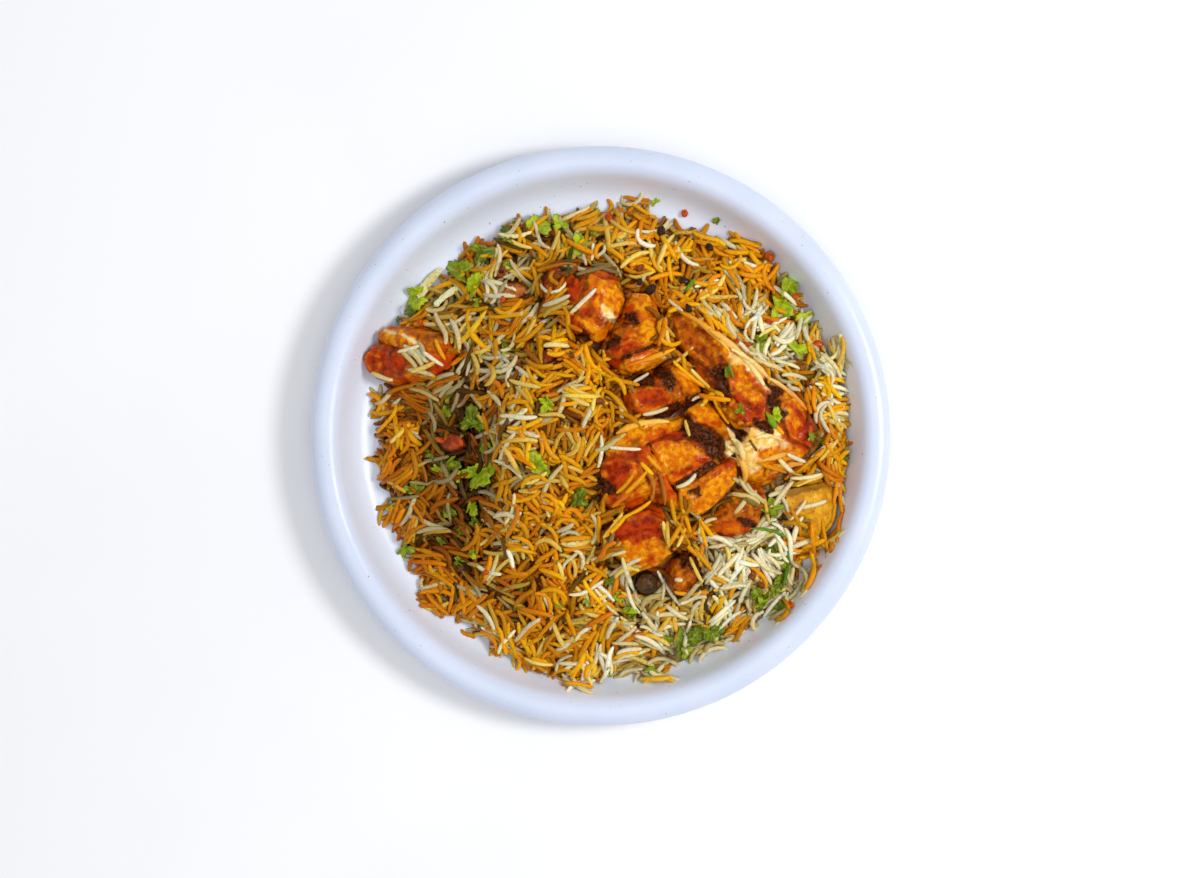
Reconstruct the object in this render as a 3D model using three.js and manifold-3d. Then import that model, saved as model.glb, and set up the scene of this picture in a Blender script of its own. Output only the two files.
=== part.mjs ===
// Biryani on a round melamine plate: a heap of long-grain rice carrying roast chicken, vegetables and
// coriander. Millimetres, +Z up. The origin is the centre of the plate's foot ring, on the table.
// The top face of every piece of food is a height over a smooth mound, heapHeight(x, y).

import * as THREE from "three";
import { mergeVertices } from "three/addons/utils/BufferGeometryUtils.js";
import Module from "manifold-3d";

const wasm = await Module();
wasm.setup();

// ---------------------------------------------------------------- driving dimensions, in millimetres

const PLATE = {
  radius: 140,
  height: 26,
  lipHeight: 20.5, // of the lip's outer edge
  crestRadius: 133, // top of the rolled lip
  wallRadius: 123, // half-way up the wall
  wallHeight: 15,
  flatRadius: 108, // edge of the flat floor
  floorTop: 5,
  thickness: 2.6,
  footRadius: 90,
  footWidth: 3,
  sectors: 52,
  curveSteps: 3,
};

const HEAP = {
  centre: [5.5, -3],
  radius: 116.5,
  edgeThickness: 3,
  rise: 30, // of the broad mound over its edge
  crest: [-22, 4], // the taller mound, left of the middle
  crestRise: 19,
  crestRadius: 42,
  lobes: [[1.8, 3, 0.6], [1.4, 7, 2], [0.9, 11, 4]], // of its outline: depth, number and phase
  relief: 0.9, // unevenness of the bare core
  sectors: 60,
  topRings: 14,
  underRings: 3,
};

const GRAIN = {
  candidates: 160,
  length: [13, 17],
  radius: 1.25,
  bend: 2.2,
  lift: 0.35, // of the grain's axis over the core
  clearance: 2.6, // between a grain's axis and a topping
  sides: 4,
};

const GAP = 0.35; // air between neighbours that touch
const SOCKET_GAP = 1.4; // air round a topping where it sinks into the rice, seen from above
const SWELL = [3.7, 4.3]; // spacing of the toppings' low bumps, along x and y
const SCORE = { width: 3.4, depth: 4.2, above: 6 }; // knife cuts: `above` is how far the blade clears the top
const SEED = 20;

// Pieces of roast chicken, each a pillow with the outline given, seen from above. `rise` is how far its top
// stands over the mound, `sink` how far its edge lies below it, `depth` how far it bellies under its edge.
// `scores` are the knife cuts across its top. `middle`, where the corners' mean won't do, is a point that
// sees the whole outline.
const CHICKEN = [
  {
    name: "chicken_knuckle",
    outline: [[-28, 72], [-24, 79], [-16, 81], [-7, 79.5], [1, 80], [7, 76.5], [10, 70], [10, 64],
      [6.5, 55.5], [2, 48], [-2, 45], [-8, 46], [-14, 50.5], [-19, 57], [-24, 64]],
    rise: 15, sink: 3, depth: 5,
    scores: [[[-11, 49], [-2, 46.5]]],
  },
  {
    name: "chicken_shoulder",
    outline: [[14, 66], [19, 68], [24, 64], [26.5, 57], [28.5, 50], [33, 46], [35, 41.5], [31, 37],
      [23.5, 33.5], [17, 30.5], [10.5, 31], [5, 35], [1, 40.5], [3.5, 45], [10.5, 53.5], [13, 59.5]],
    rise: 13, sink: 3, depth: 5,
    scores: [[[14, 50], [24, 57]]],
  },
  {
    name: "chicken_middle",
    outline: [[11.5, 18], [14, 25], [21, 28], [28.5, 31], [34, 33], [40, 30], [46, 23], [48.5, 19.5],
      [41, 16], [34.5, 12], [26.5, 10.5], [19, 11], [14, 13.5]],
    rise: 10, sink: 3, depth: 5,
    scores: [],
  },
  {
    name: "chicken_breast",
    outline: [[31, 56.5], [34.5, 59.5], [40, 59.5], [48, 54.5], [57, 47.5], [66, 40.5], [75, 34],
      [82, 27], [90, 20.5], [96.5, 15.5], [102, 9], [104, 2], [102.5, -5], [96, -9], [90, -14.5],
      [84, -19], [75.5, -21.5], [69.5, -19.5], [68, -12], [69, -4.5], [67, 2], [62.5, 8.5],
      [57.5, 15.5], [52, 23], [46.5, 31], [42, 39], [37.5, 46], [32.5, 51.5]],
    middle: [73, 10],
    rise: 12, sink: 3, depth: 5,
    scores: [[[60, 16], [72, 3]]],
  },
  {
    name: "chicken_thigh",
    outline: [[5.5, -2.5], [12, 3], [20, 5.5], [29.5, 6.5], [38.5, 8], [43.5, 12.5], [49, 15.5],
      [53.5, 12.5], [58.5, 5.5], [63.5, -1], [64.5, -9], [65, -16.5], [63.5, -23.5], [57.5, -30],
      [50, -35.5], [43, -38.5], [37, -36.5], [31, -31.5], [24, -30], [16, -31.5], [8, -34], [2, -32.5],
      [0, -26], [0, -16.5], [2.5, -8.5]],
    rise: 13, sink: 3, depth: 6,
    scores: [[[23.5, -4], [34.5, -25.5]], [[34.5, -25.5], [41, -36]], [[63, -10], [36, -26]]],
  },
  {
    name: "chicken_thigh_end",
    outline: [[1.5, -53], [1.5, -47], [6.5, -41], [14, -36.5], [22, -34], [29, -34.5], [34, -39],
      [39, -44], [42, -50.5], [36.5, -54.5], [30, -60], [21.5, -62], [13, -60], [7.5, -54.5]],
    rise: 12, sink: 3, depth: 5,
    scores: [],
  },
  {
    name: "chicken_tip",
    outline: [[32.5, -63], [38, -57.5], [43.5, -54.5], [46, -58], [45, -63], [46, -68.5], [43, -74],
      [39.5, -77.5], [36, -74.5], [33.5, -69.5]],
    rise: 8, sink: 2.5, depth: 4,
    scores: [],
  },
  {
    name: "chicken_flank",
    outline: [[51, -42], [57.5, -36.5], [66, -28.5], [69, -25.5], [76, -25.5], [79, -29], [76.5, -35.5],
      [73, -42], [68.5, -46.5], [62, -46.5], [55, -45]],
    rise: 7, sink: 2.5, depth: 4,
    scores: [],
  },
  {
    name: "drumstick_end",
    outline: [[-113, 35.5], [-111.5, 41.5], [-107.5, 44], [-106.5, 48.5], [-101.5, 52], [-94.5, 52.5],
      [-88, 50.5], [-79, 47.5], [-73, 44.5], [-70, 39], [-74, 33.5], [-82, 30], [-90.5, 27.5],
      [-97.5, 27], [-104, 27], [-110, 29.5]],
    rise: 11, sink: 1.5, depth: 5,
    scores: [[[-106, 46], [-88, 39]]],
  },
];

// Other toppings with an outline: vegetables, a dried plum and small scraps of meat.
const VEGETABLES = [
  {
    name: "potato_slice",
    outline: [[88.5, -27.5], [96, -25], [105, -23.5], [111, -23.5], [112.5, -28], [112.5, -37],
      [111, -45.5], [108, -51], [103, -52.5], [98.5, -49], [95.5, -42.5], [91, -35.5]],
    rise: 6.5, sink: 2, depth: 2.5, colour: 0xd08a1c,
  },
  {
    name: "dried_plum",
    outline: [[28, -70.8], [26.2, -66.2], [22, -64.2], [17.8, -66], [16, -70.5], [18, -75], [22.2, -76.8],
      [26.4, -75]],
    rise: 7.5, sink: 2, depth: 3, colour: 0x4a2c14,
  },
  {
    name: "carrot_scrap",
    outline: [[-77.5, -2], [-73, 1.5], [-66.5, 0.5], [-64, -4], [-68, -7.5], [-75, -7]],
    rise: 4, sink: 1.5, depth: 2, colour: 0xc2450f,
  },
  {
    name: "tomato_scrap",
    outline: [[-29.5, 34], [-28, 40], [-24.5, 43], [-21, 41.5], [-21.5, 36.5], [-25, 33]],
    rise: 4, sink: 1.5, depth: 2, colour: 0x8c2608,
  },
  {
    name: "meat_scrap_0",
    outline: [[-52, 79.5], [-49, 83.5], [-44, 83.5], [-41.5, 80], [-44, 76], [-49.5, 75.5]],
    rise: 4.5, sink: 1.5, depth: 2, colour: 0xa8521a,
  },
  {
    name: "meat_scrap_1",
    outline: [[-48.5, 69], [-45, 74], [-38.5, 74], [-34, 70], [-37.5, 66], [-44.5, 65.5]],
    rise: 4.5, sink: 1.5, depth: 2, colour: 0xb8662a,
  },
];

// Thin strips that lie on the rice: where they run, their width and thickness.
const STRIPS = [
  { name: "onion_shard_0", run: [[-88.5, 65.5], [-85, 73.5], [-76, 83]], width: 6, thick: 1.2,
    colour: 0xe2dba6 },
  { name: "onion_shard_1", run: [[-81, 62], [-76, 67.5], [-68, 72.5]], width: 4.5, thick: 1.1,
    colour: 0xe4e0b8 },
  { name: "pepper_strip", run: [[-71.5, 41.5], [-62.5, 49.5], [-54, 61.5]], width: 3.4, thick: 2,
    colour: 0xe0b414 },
  { name: "coriander_stem_0", run: [[72, -44], [81, -45], [88.5, -49]], width: 1.6, thick: 1.4,
    colour: 0x5f8f1c },
  { name: "coriander_stem_1", run: [[89.5, -51], [91, -62], [87.5, -75]], width: 2.2, thick: 1.4,
    colour: 0x4c7d1a },
];

// A crumb of spiced rice that has rolled off the heap on to the wall of the plate.
const CRUMB = { name: "loose_crumb", place: [82, 87], radius: [2.8, 2.2], colour: 0xb2521a };

// Coriander leaves: where each lies, its half length, and the bearing of its tip in degrees.
const LEAF = { thickness: 0.5, wave: 0.7, sectors: 12, width: 0.82, stand: 0.9 };
const LEAVES = [
  [-30, 105, 6.2, 80], [-20, 104, 4.6, 120], [-42, 99.5, 5.6, 70], [-56, 90, 5.8, 15],
  [-70, 80, 6.6, 150], [-92, 67, 6, 200], [-60.5, 73.5, 6.4, 60], [-9.5, 93.5, 5, 110],
  [-23.5, 14, 4.8, 300], [-62, 9, 6.4, 100], [-74, -13.5, 5, 210], [-58, -17, 7.4, 40],
  [-30, -16, 6.6, 330], [-11.5, -30, 4.6, 190], [-91.5, -26.5, 5, 170], [-96, -56, 4.4, 230],
  [39.5, -102, 8.4, 260], [54.5, -96, 5.4, 300], [77.5, -81, 6, 250], [88, -83, 4.2, 320],
  [83.5, -35.5, 5.6, 20], [84.5, 8, 5, 320], [66.5, 13, 3.8, 90], [92, 74, 6.8, 75],
  [85.5, 63.5, 6.2, 100], [100.5, 57, 4.4, 45], [75.5, 44.5, 5, 200], [94, 42, 5.4, 140],
];

const CHICKEN_COLOUR = 0xb4480f;
const LEAF_COLOUR = 0x4e8a1e;

// ---------------------------------------------------------------- plate

// The section runs from the axis over the top face to the lip, and back under it by the foot ring.
function plateSection() {
  const { radius, height, lipHeight, crestRadius, wallRadius, wallHeight, flatRadius } = PLATE;
  const { floorTop, thickness, footRadius, footWidth } = PLATE;
  const floorBottom = floorTop - thickness;
  const footOuter = footRadius + footWidth / 2;
  const footInner = footRadius - footWidth / 2;
  const footSlant = 0.6;
  const section = new THREE.Path();
  section.moveTo(0, floorTop);
  section.lineTo(flatRadius, floorTop);
  section.bezierCurveTo(flatRadius + 9, floorTop, wallRadius - 3, wallHeight - 6, wallRadius, wallHeight);
  section.bezierCurveTo(wallRadius + 2.5, wallHeight + 5, crestRadius - 6.5, height, crestRadius, height);
  section.bezierCurveTo(radius - 3, height, radius - 0.4, height - 2.4, radius, lipHeight);
  section.lineTo(radius - 1, lipHeight - 1.2);
  section.bezierCurveTo(
    radius - 2.5, height - 4.4, crestRadius + 2.5, height - thickness, crestRadius, height - thickness,
  );
  section.bezierCurveTo(
    crestRadius - 3.6, height - thickness, wallRadius + 5.4, wallHeight + 4, wallRadius + 3, wallHeight - 1,
  );
  section.bezierCurveTo(wallRadius, wallHeight - 7, wallRadius - 5, floorBottom, flatRadius, floorBottom);
  section.lineTo(footOuter + footSlant, floorBottom);
  section.lineTo(footOuter, 0);
  section.lineTo(footInner, 0);
  section.lineTo(footInner - footSlant, floorBottom);
  section.lineTo(0, floorBottom);
  return section.getPoints(PLATE.curveSteps);
}

// The height of the plate's top face at a distance from its axis, on the inside of its flat facets.
function plateHeight(distance) {
  const reach = distance / Math.cos(Math.PI / PLATE.sectors);
  const section = plateSection();
  for (let i = 1; i < section.length; i += 1) {
    const inner = section[i - 1];
    const outer = section[i];
    if (outer.x >= reach) {
      return THREE.MathUtils.mapLinear(reach, inner.x, outer.x, inner.y, outer.y);
    }
  }
  return PLATE.height;
}

function plateGeometry() {
  return closed(new THREE.LatheGeometry(plateSection().reverse(), PLATE.sectors).rotateX(Math.PI / 2));
}

// ---------------------------------------------------------------- the mound's height

// How far the heap reaches from its centre along a bearing: a circle with a few shallow lobes.
function heapReach(bearing) {
  return HEAP.lobes.reduce(
    (reach, [depth, number, phase]) => reach + depth * Math.sin(number * bearing + phase),
    HEAP.radius,
  );
}

// The smooth height of the rice at a point of the plan. Toppings are set out from it.
function heapHeight(x, y) {
  const [centreX, centreY] = HEAP.centre;
  const bearing = Math.atan2(y - centreY, x - centreX);
  const share = Math.min(1, Math.hypot(x - centreX, y - centreY) / heapReach(bearing));
  const crestDistance = Math.hypot(x - HEAP.crest[0], y - HEAP.crest[1]) / HEAP.crestRadius;
  const mound = HEAP.rise * (1 - share ** 2.4) ** 0.85;
  const crest = HEAP.crestRise * Math.exp(-(crestDistance ** 2)) * (1 - share ** 4);
  const lowest = plateHeight(Math.hypot(x, y)) + GAP + HEAP.edgeThickness;
  return Math.max(PLATE.floorTop + HEAP.edgeThickness + mound + crest, lowest);
}

// ---------------------------------------------------------------- closed shapes

// Shared vertices are merged by place alone, so that the surface closes, and the flat triangles that a
// lathe leaves at its poles are dropped.
function closed(geometry) {
  geometry.deleteAttribute("normal");
  geometry.deleteAttribute("uv");
  const merged = mergeVertices(geometry, 1e-4);
  const corners = merged.index.array;
  const kept = [];
  for (let i = 0; i < corners.length; i += 3) {
    const triangle = [corners[i], corners[i + 1], corners[i + 2]];
    if (new Set(triangle).size === 3) {
      kept.push(...triangle);
    }
  }
  merged.setIndex(kept);
  return merged;
}

// A closed lens, moulded: `level` runs from -1 at the middle of the underside through 0 at the rim to 1 at
// the middle of the top, `bearing` runs round it, and `place` says where such a point goes.
function mould(sectors, topRings, underRings, place) {
  const profile = [];
  for (let ring = 0; ring < underRings; ring += 1) {
    profile.push(new THREE.Vector2(ring / underRings, ring / underRings - 1));
  }
  for (let ring = 0; ring <= topRings; ring += 1) {
    profile.push(new THREE.Vector2(1 - ring / topRings, ring / topRings));
  }
  const geometry = closed(new THREE.LatheGeometry(profile, sectors).rotateX(Math.PI / 2));
  const position = geometry.attributes.position;
  const point = new THREE.Vector3();
  for (let i = 0; i < position.count; i += 1) {
    point.fromBufferAttribute(position, i);
    const level = Math.round(point.z * 1e6) / 1e6;
    position.setXYZ(i, ...place(level, Math.atan2(point.y, point.x)));
  }
  return geometry;
}

// A smooth closed curve through a few points, counter-clockwise.
function smoothOutline(points) {
  const corners = points.map(([x, y]) => new THREE.Vector3(x, y, 0));
  if (THREE.ShapeUtils.isClockWise(corners)) {
    corners.reverse();
  }
  return new THREE.CatmullRomCurve3(corners, true);
}

function meanPoint(points) {
  const sum = points.reduce(([sumX, sumY], [x, y]) => [sumX + x, sumY + y], [0, 0]);
  return [sum[0] / points.length, sum[1] / points.length];
}

// A pillow set into the mound: steep flanks, a broad top and a shallow belly. As a socket it is the wider
// shape that is cut out of the rice for it.
function pillow({ outline, rise, sink, depth, middle = meanPoint(outline) }, isSocket = false) {
  const curve = smoothOutline(outline);
  const [middleX, middleY] = middle;
  const widen = isSocket ? SOCKET_GAP : 0;
  const raise = isSocket ? GAP : 0;
  const lower = isSocket ? 2 * GAP : 0;
  const isSmall = outline.length < 10;
  const sectors = isSmall ? 9 : Math.round(outline.length * 1.2);
  return mould(sectors, isSmall ? 3 : 5, 2, (level, bearing) => {
    const share = 1 - Math.abs(level) ** 1.5;
    const turn = (bearing / (2 * Math.PI) + 1) % 1;
    const rim = curve.getPoint(turn);
    const tangent = curve.getTangent(turn);
    const x = middleX + (rim.x + tangent.y * widen - middleX) * share;
    const y = middleY + (rim.y - tangent.x * widen - middleY) * share;
    const edge = heapHeight(x, y) - sink;
    if (level > 0) {
      const swell = Math.sin(x / SWELL[0]) * Math.cos(y / SWELL[1]) * (1 - share ** 4);
      return [x, y, edge + (rise + sink) * Math.sqrt(1 - share ** 3) + swell + raise];
    }
    const belly = edge - depth * (1 - share ** 2);
    return [x, y, Math.max(belly, plateHeight(Math.hypot(x, y)) + 2 * GAP) - lower];
  });
}

// A straight knife cut: a long wedge with its edge below the surface `top` at both ends.
function scoreCut([start, end], top) {
  const { width, depth, above } = SCORE;
  const from = new THREE.Vector3(start[0], start[1], top(...start));
  const to = new THREE.Vector3(end[0], end[1], top(...end));
  const wedge = new THREE.Shape([
    new THREE.Vector2(0, -depth),
    new THREE.Vector2(width / 2, 0),
    new THREE.Vector2(width, above),
    new THREE.Vector2(-width, above),
    new THREE.Vector2(-width / 2, 0),
  ]);
  const along = to.clone().sub(from);
  const geometry = new THREE.ExtrudeGeometry(wedge, { depth: along.length(), bevelEnabled: false });
  const across = new THREE.Vector3(0, 0, 1).cross(along).normalize();
  const up = along.clone().cross(across).normalize();
  const frame = new THREE.Matrix4().makeBasis(across, up, along.normalize()).setPosition(from);
  return closed(geometry.applyMatrix4(frame));
}

// ---------------------------------------------------------------- joining and cutting

function toSolid(geometry) {
  return new wasm.Manifold(new wasm.Mesh({
    numProp: 3,
    vertProperties: Float32Array.from(geometry.attributes.position.array),
    triVerts: Uint32Array.from(geometry.index.array),
  }));
}

function toGeometry(solid) {
  const { vertProperties, triVerts, numProp } = solid.getMesh();
  const geometry = new THREE.BufferGeometry();
  const position = new Float32Array((vertProperties.length / numProp) * 3);
  for (let i = 0; i < position.length / 3; i += 1) {
    position.set(vertProperties.subarray(i * numProp, i * numProp + 3), i * 3);
  }
  geometry.setAttribute("position", new THREE.BufferAttribute(position, 3));
  geometry.setIndex(Array.from(triVerts));
  return geometry;
}

// The largest of a solid's bodies: loose scraps and sealed hollows are left out.
function largestBody(solid) {
  return solid.decompose().reduce((best, body) => (body.volume() > best.volume() ? body : best));
}

function overlaps(a, b) {
  return a.intersect(b).volume() > 1e-6;
}

// ---------------------------------------------------------------- the scene graph

const biryani = new THREE.Group();
const solids = [];

function addPiece(name, geometry, colour, roughness) {
  const material = new THREE.MeshStandardMaterial({ color: colour, roughness, metalness: 0 });
  const mesh = new THREE.Mesh(geometry, material);
  mesh.name = name;
  mesh.updateMatrixWorld();
  biryani.add(mesh);
  solids.push(toSolid(geometry));
  return mesh;
}

// The height of the topmost surface at a point of the plan, among the pieces laid so far.
const downRay = new THREE.Raycaster();
function layHeight(x, y, meshes = biryani.children) {
  downRay.set(new THREE.Vector3(x, y, 200), new THREE.Vector3(0, 0, -1));
  const [hit] = downRay.intersectObjects(meshes, false);
  return hit ? hit.point.z : 0;
}

// Lifts a thin piece until it is clear of everything laid before it.
function liftClear(geometry) {
  const step = 0.25;
  while (solids.some((solid) => overlaps(solid, toSolid(geometry)))) {
    geometry.translate(0, 0, step);
  }
  return geometry.translate(0, 0, GAP);
}

// Random draws with a fixed seed.
function drawer(seed) {
  let state = seed;
  return (low, high) => {
    state = (Math.imul(state, 1664525) + 1013904223) >>> 0;
    return low + (high - low) * (state / 4294967296);
  };
}

// ---------------------------------------------------------------- plate and toppings set into the rice

addPiece("plate", plateGeometry(), 0xdbe1f2, 0.25);

const setIn = [
  ...CHICKEN.map((piece) => ({ colour: CHICKEN_COLOUR, scores: [], ...piece })),
  ...VEGETABLES.map((piece) => ({ scores: [], ...piece })),
];

for (const piece of setIn) {
  let solid = toSolid(pillow(piece));
  const whole = new THREE.Mesh(toGeometry(solid), new THREE.MeshBasicMaterial({ side: THREE.DoubleSide }));
  for (const score of piece.scores) {
    solid = solid.subtract(toSolid(scoreCut(score, (x, y) => layHeight(x, y, [whole]))));
  }
  addPiece(piece.name, toGeometry(largestBody(solid)), piece.colour, 0.45);
}

// ---------------------------------------------------------------- the heap of rice

// The bare core: lumpy on top, its underside following the plate at a small gap.
function heapCore() {
  return mould(HEAP.sectors, HEAP.topRings, HEAP.underRings, (level, bearing) => {
    const even = 1 - Math.abs(level);
    const share = level < 0 ? even ** 0.25 : even;
    const x = HEAP.centre[0] + heapReach(bearing) * share * Math.cos(bearing);
    const y = HEAP.centre[1] + heapReach(bearing) * share * Math.sin(bearing);
    const floor = plateHeight(Math.hypot(x, y)) + GAP;
    if (level < 0) {
      return [x, y, floor];
    }
    if (level === 0) {
      return [x, y, floor + HEAP.edgeThickness / 2];
    }
    return [x, y, heapHeight(x, y) + HEAP.relief * Math.sin(x / SWELL[0]) * Math.sin(y / SWELL[1])];
  });
}

// A point of a bent grain's axis seen from above, from one tip at -1 to the other at 1.
function grainAxis({ x, y, yaw, length, bend }, level) {
  const forward = (level * length) / 2;
  const sideways = bend * level ** 2;
  return [
    x + Math.cos(yaw) * forward - Math.sin(yaw) * sideways,
    y + Math.sin(yaw) * forward + Math.cos(yaw) * sideways,
  ];
}

// A grain of true size with few sides, lying on the core.
function grainGeometry(grain, core) {
  return mould(GRAIN.sides, 2, 2, (level, bearing) => {
    const [axisX, axisY] = grainAxis(grain, level);
    const radius = GRAIN.radius * Math.sqrt(1 - level ** 2);
    const height = layHeight(axisX, axisY, [core]) + GRAIN.lift;
    return [
      axisX - Math.sin(grain.yaw) * radius * Math.cos(bearing),
      axisY + Math.cos(grain.yaw) * radius * Math.cos(bearing),
      height + radius * Math.sin(bearing),
    ];
  });
}

// A grain is skipped where it would come near a topping or reach past the core's edge.
function grainIsClear(grain, outlines) {
  return [-1, -0.5, 0, 0.5, 1].every((level) => {
    const [x, y] = grainAxis(grain, level);
    const offsetX = x - HEAP.centre[0];
    const offsetY = y - HEAP.centre[1];
    const room = heapReach(Math.atan2(offsetY, offsetX)) - Math.hypot(offsetX, offsetY);
    return room > GRAIN.radius * 2 && !outlines.some((outline) => isNear(x, y, outline));
  });
}

// Whether a point lies inside a closed outline or within the grains' clearance of it.
function isNear(x, y, outline) {
  let inside = false;
  let last = outline[outline.length - 1];
  for (const corner of outline) {
    if (Math.hypot(corner.x - x, corner.y - y) < GRAIN.clearance) {
      return true;
    }
    const crossing = ((last.x - corner.x) * (y - corner.y)) / (last.y - corner.y) + corner.x;
    if (corner.y > y !== last.y > y && x < crossing) {
      inside = !inside;
    }
    last = corner;
  }
  return inside;
}

// Everything on the rice, seen from above: the grains keep clear of it.
function toppingOutlines() {
  const pillows = setIn.map(({ outline }) => smoothOutline(outline).getPoints(80));
  const round = (x, y, radius) => new THREE.Path().absarc(x, y, radius, 0, 2 * Math.PI).getPoints(12);
  const leaves = LEAVES.map(([x, y, size]) => round(x, y, size));
  const strips = STRIPS.flatMap(({ run, width }) => {
    const points = new THREE.SplineCurve(run.map(([x, y]) => new THREE.Vector2(x, y))).getPoints(6);
    return points.map((point) => round(point.x, point.y, width / 2 + 1.5));
  });
  return [...pillows, ...leaves, ...strips];
}

function heapGeometry() {
  let core = toSolid(heapCore());
  for (const piece of setIn) {
    core = core.subtract(toSolid(pillow(piece, true)));
  }
  core = largestBody(core);
  const coreMesh = new THREE.Mesh(toGeometry(core), new THREE.MeshBasicMaterial());
  const outlines = toppingOutlines();
  const draw = drawer(SEED);
  const goldenAngle = Math.PI * (3 - Math.sqrt(5));
  let heap = core;
  for (let i = 0; i < GRAIN.candidates; i += 1) {
    const bearing = i * goldenAngle;
    const reach = heapReach(bearing) * Math.sqrt((i + 0.5) / GRAIN.candidates);
    const grain = {
      x: HEAP.centre[0] + reach * Math.cos(bearing) + draw(-2, 2),
      y: HEAP.centre[1] + reach * Math.sin(bearing) + draw(-2, 2),
      yaw: draw(0, Math.PI),
      length: draw(...GRAIN.length),
      bend: draw(-GRAIN.bend, GRAIN.bend),
    };
    if (grainIsClear(grain, outlines)) {
      heap = heap.add(toSolid(grainGeometry(grain, coreMesh)));
    }
  }
  return toGeometry(largestBody(heap));
}

addPiece("rice_heap", heapGeometry(), 0xdc9a24, 0.5);

// ---------------------------------------------------------------- strips, leaves and a crumb on top

// A flat bent strip that follows what it lies on.
function stripGeometry({ run, width, thick }) {
  const curve = new THREE.SplineCurve(run.map(([x, y]) => new THREE.Vector2(x, y)));
  return mould(4, 3, 3, (level, bearing) => {
    const place = curve.getPoint((level + 1) / 2);
    const tangent = curve.getTangent((level + 1) / 2);
    const taper = Math.sqrt(1 - level ** 2);
    const side = (width / 2) * taper * Math.cos(bearing);
    const height = layHeight(place.x, place.y) + thick / 2 + GAP;
    return [
      place.x - tangent.y * side,
      place.y + tangent.x * side,
      height + (thick / 2) * taper * Math.sin(bearing),
    ];
  });
}

// A thin leaf with five lobes, wavy, both faces split alike, draped over what it lies on.
function leafGeometry([leafX, leafY, size, tipBearing]) {
  const tip = THREE.MathUtils.degToRad(tipBearing);
  return mould(LEAF.sectors, 1, 1, (level, bearing) => {
    const share = 1 - Math.abs(level);
    const reach = size * share * (0.8 + 0.2 * Math.cos(5 * bearing));
    const forward = reach * Math.cos(bearing);
    const sideways = reach * LEAF.width * Math.sin(bearing);
    const x = leafX + forward * Math.cos(tip) - sideways * Math.sin(tip);
    const y = leafY + forward * Math.sin(tip) + sideways * Math.cos(tip);
    const wave = LEAF.wave * share * Math.sin(3 * bearing + leafX);
    return [x, y, layHeight(x, y) + LEAF.stand + wave + level * LEAF.thickness / 2];
  });
}

function crumbGeometry() {
  const [x, y] = CRUMB.place;
  const [wide, tall] = CRUMB.radius;
  const height = layHeight(x, y) + tall;
  return mould(8, 2, 2, (level, bearing) => {
    const flat = wide * Math.sqrt(1 - level ** 2);
    return [x + flat * Math.cos(bearing), y + flat * Math.sin(bearing), height + tall * level];
  });
}

for (const strip of STRIPS) {
  addPiece(strip.name, liftClear(stripGeometry(strip)), strip.colour, 0.35);
}

LEAVES.forEach((leaf, index) => {
  const name = `coriander_leaf_${String(index).padStart(2, "0")}`;
  addPiece(name, liftClear(leafGeometry(leaf)), LEAF_COLOUR, 0.5);
});

addPiece(CRUMB.name, liftClear(crumbGeometry()), CRUMB.colour, 0.5);

export default biryani;
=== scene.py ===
"""Chicken biryani heaped on a round melamine plate, dressed over the part's own solids.

Lengths are in millimetres until a mesh is made, where MM turns them into metres.
"""
import math

import bmesh
import bpy
import numpy as np
from mathutils import Matrix, Vector


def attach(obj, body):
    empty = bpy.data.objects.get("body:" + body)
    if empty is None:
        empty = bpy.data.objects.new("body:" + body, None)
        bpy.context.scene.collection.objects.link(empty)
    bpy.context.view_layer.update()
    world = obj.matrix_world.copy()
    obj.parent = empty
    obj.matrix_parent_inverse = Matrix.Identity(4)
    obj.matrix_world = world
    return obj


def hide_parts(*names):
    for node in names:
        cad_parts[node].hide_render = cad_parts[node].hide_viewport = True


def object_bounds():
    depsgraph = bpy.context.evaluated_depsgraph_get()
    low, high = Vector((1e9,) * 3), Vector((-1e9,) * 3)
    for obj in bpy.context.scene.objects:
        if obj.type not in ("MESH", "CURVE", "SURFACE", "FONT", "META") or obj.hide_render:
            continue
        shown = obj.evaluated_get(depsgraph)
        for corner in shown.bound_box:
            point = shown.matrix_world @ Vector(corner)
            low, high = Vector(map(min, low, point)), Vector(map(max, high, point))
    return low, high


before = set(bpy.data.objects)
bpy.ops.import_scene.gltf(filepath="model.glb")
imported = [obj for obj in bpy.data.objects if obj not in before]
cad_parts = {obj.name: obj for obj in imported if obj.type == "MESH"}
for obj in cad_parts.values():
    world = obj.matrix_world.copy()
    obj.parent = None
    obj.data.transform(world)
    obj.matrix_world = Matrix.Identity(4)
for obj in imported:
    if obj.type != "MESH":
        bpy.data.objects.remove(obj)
cad_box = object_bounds()

# ------------------------------------------------------------ table, light and camera
# A plain pale table top, one large soft light from the right and an even white surround.
# The camera hangs straight over the plate on a long lens.

MM = 0.001
VIEW_COLUMNS, VIEW_ROWS = 1200, 878
LENS, SENSOR = 85, 36
RIM_HEIGHT = 26
MM_PER_DOT = 0.4811  # at the height of the plate's rim
PLATE_COLUMN, PLATE_ROW = 600.4, 435.9  # where the plate's axis lies in the view
TABLE_SIZE = 4000
LIGHTS = [
    # name, place, size and power
    ("key_light", (1020, 100, 1280), 460, 13.2),
    ("fill_light", (-100, -250, 1800), 1500, 6.5),
]
SURROUND_STRENGTH = 0.57


def paint(red, green, blue):
    """A colour given as it shows on a screen, 0 to 255, in the linear values that a shader takes."""
    share = np.array([red, green, blue]) / 255
    linear = np.where(share <= 0.04045, share / 12.92, ((share + 0.055) / 1.055) ** 2.4)
    return (*map(float, linear), 1.0)


def put(tree, value, socket):
    """Links an output to a socket, or sets the socket's value."""
    if isinstance(value, bpy.types.NodeSocket):
        tree.links.new(value, socket)
    else:
        socket.default_value = value


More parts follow.
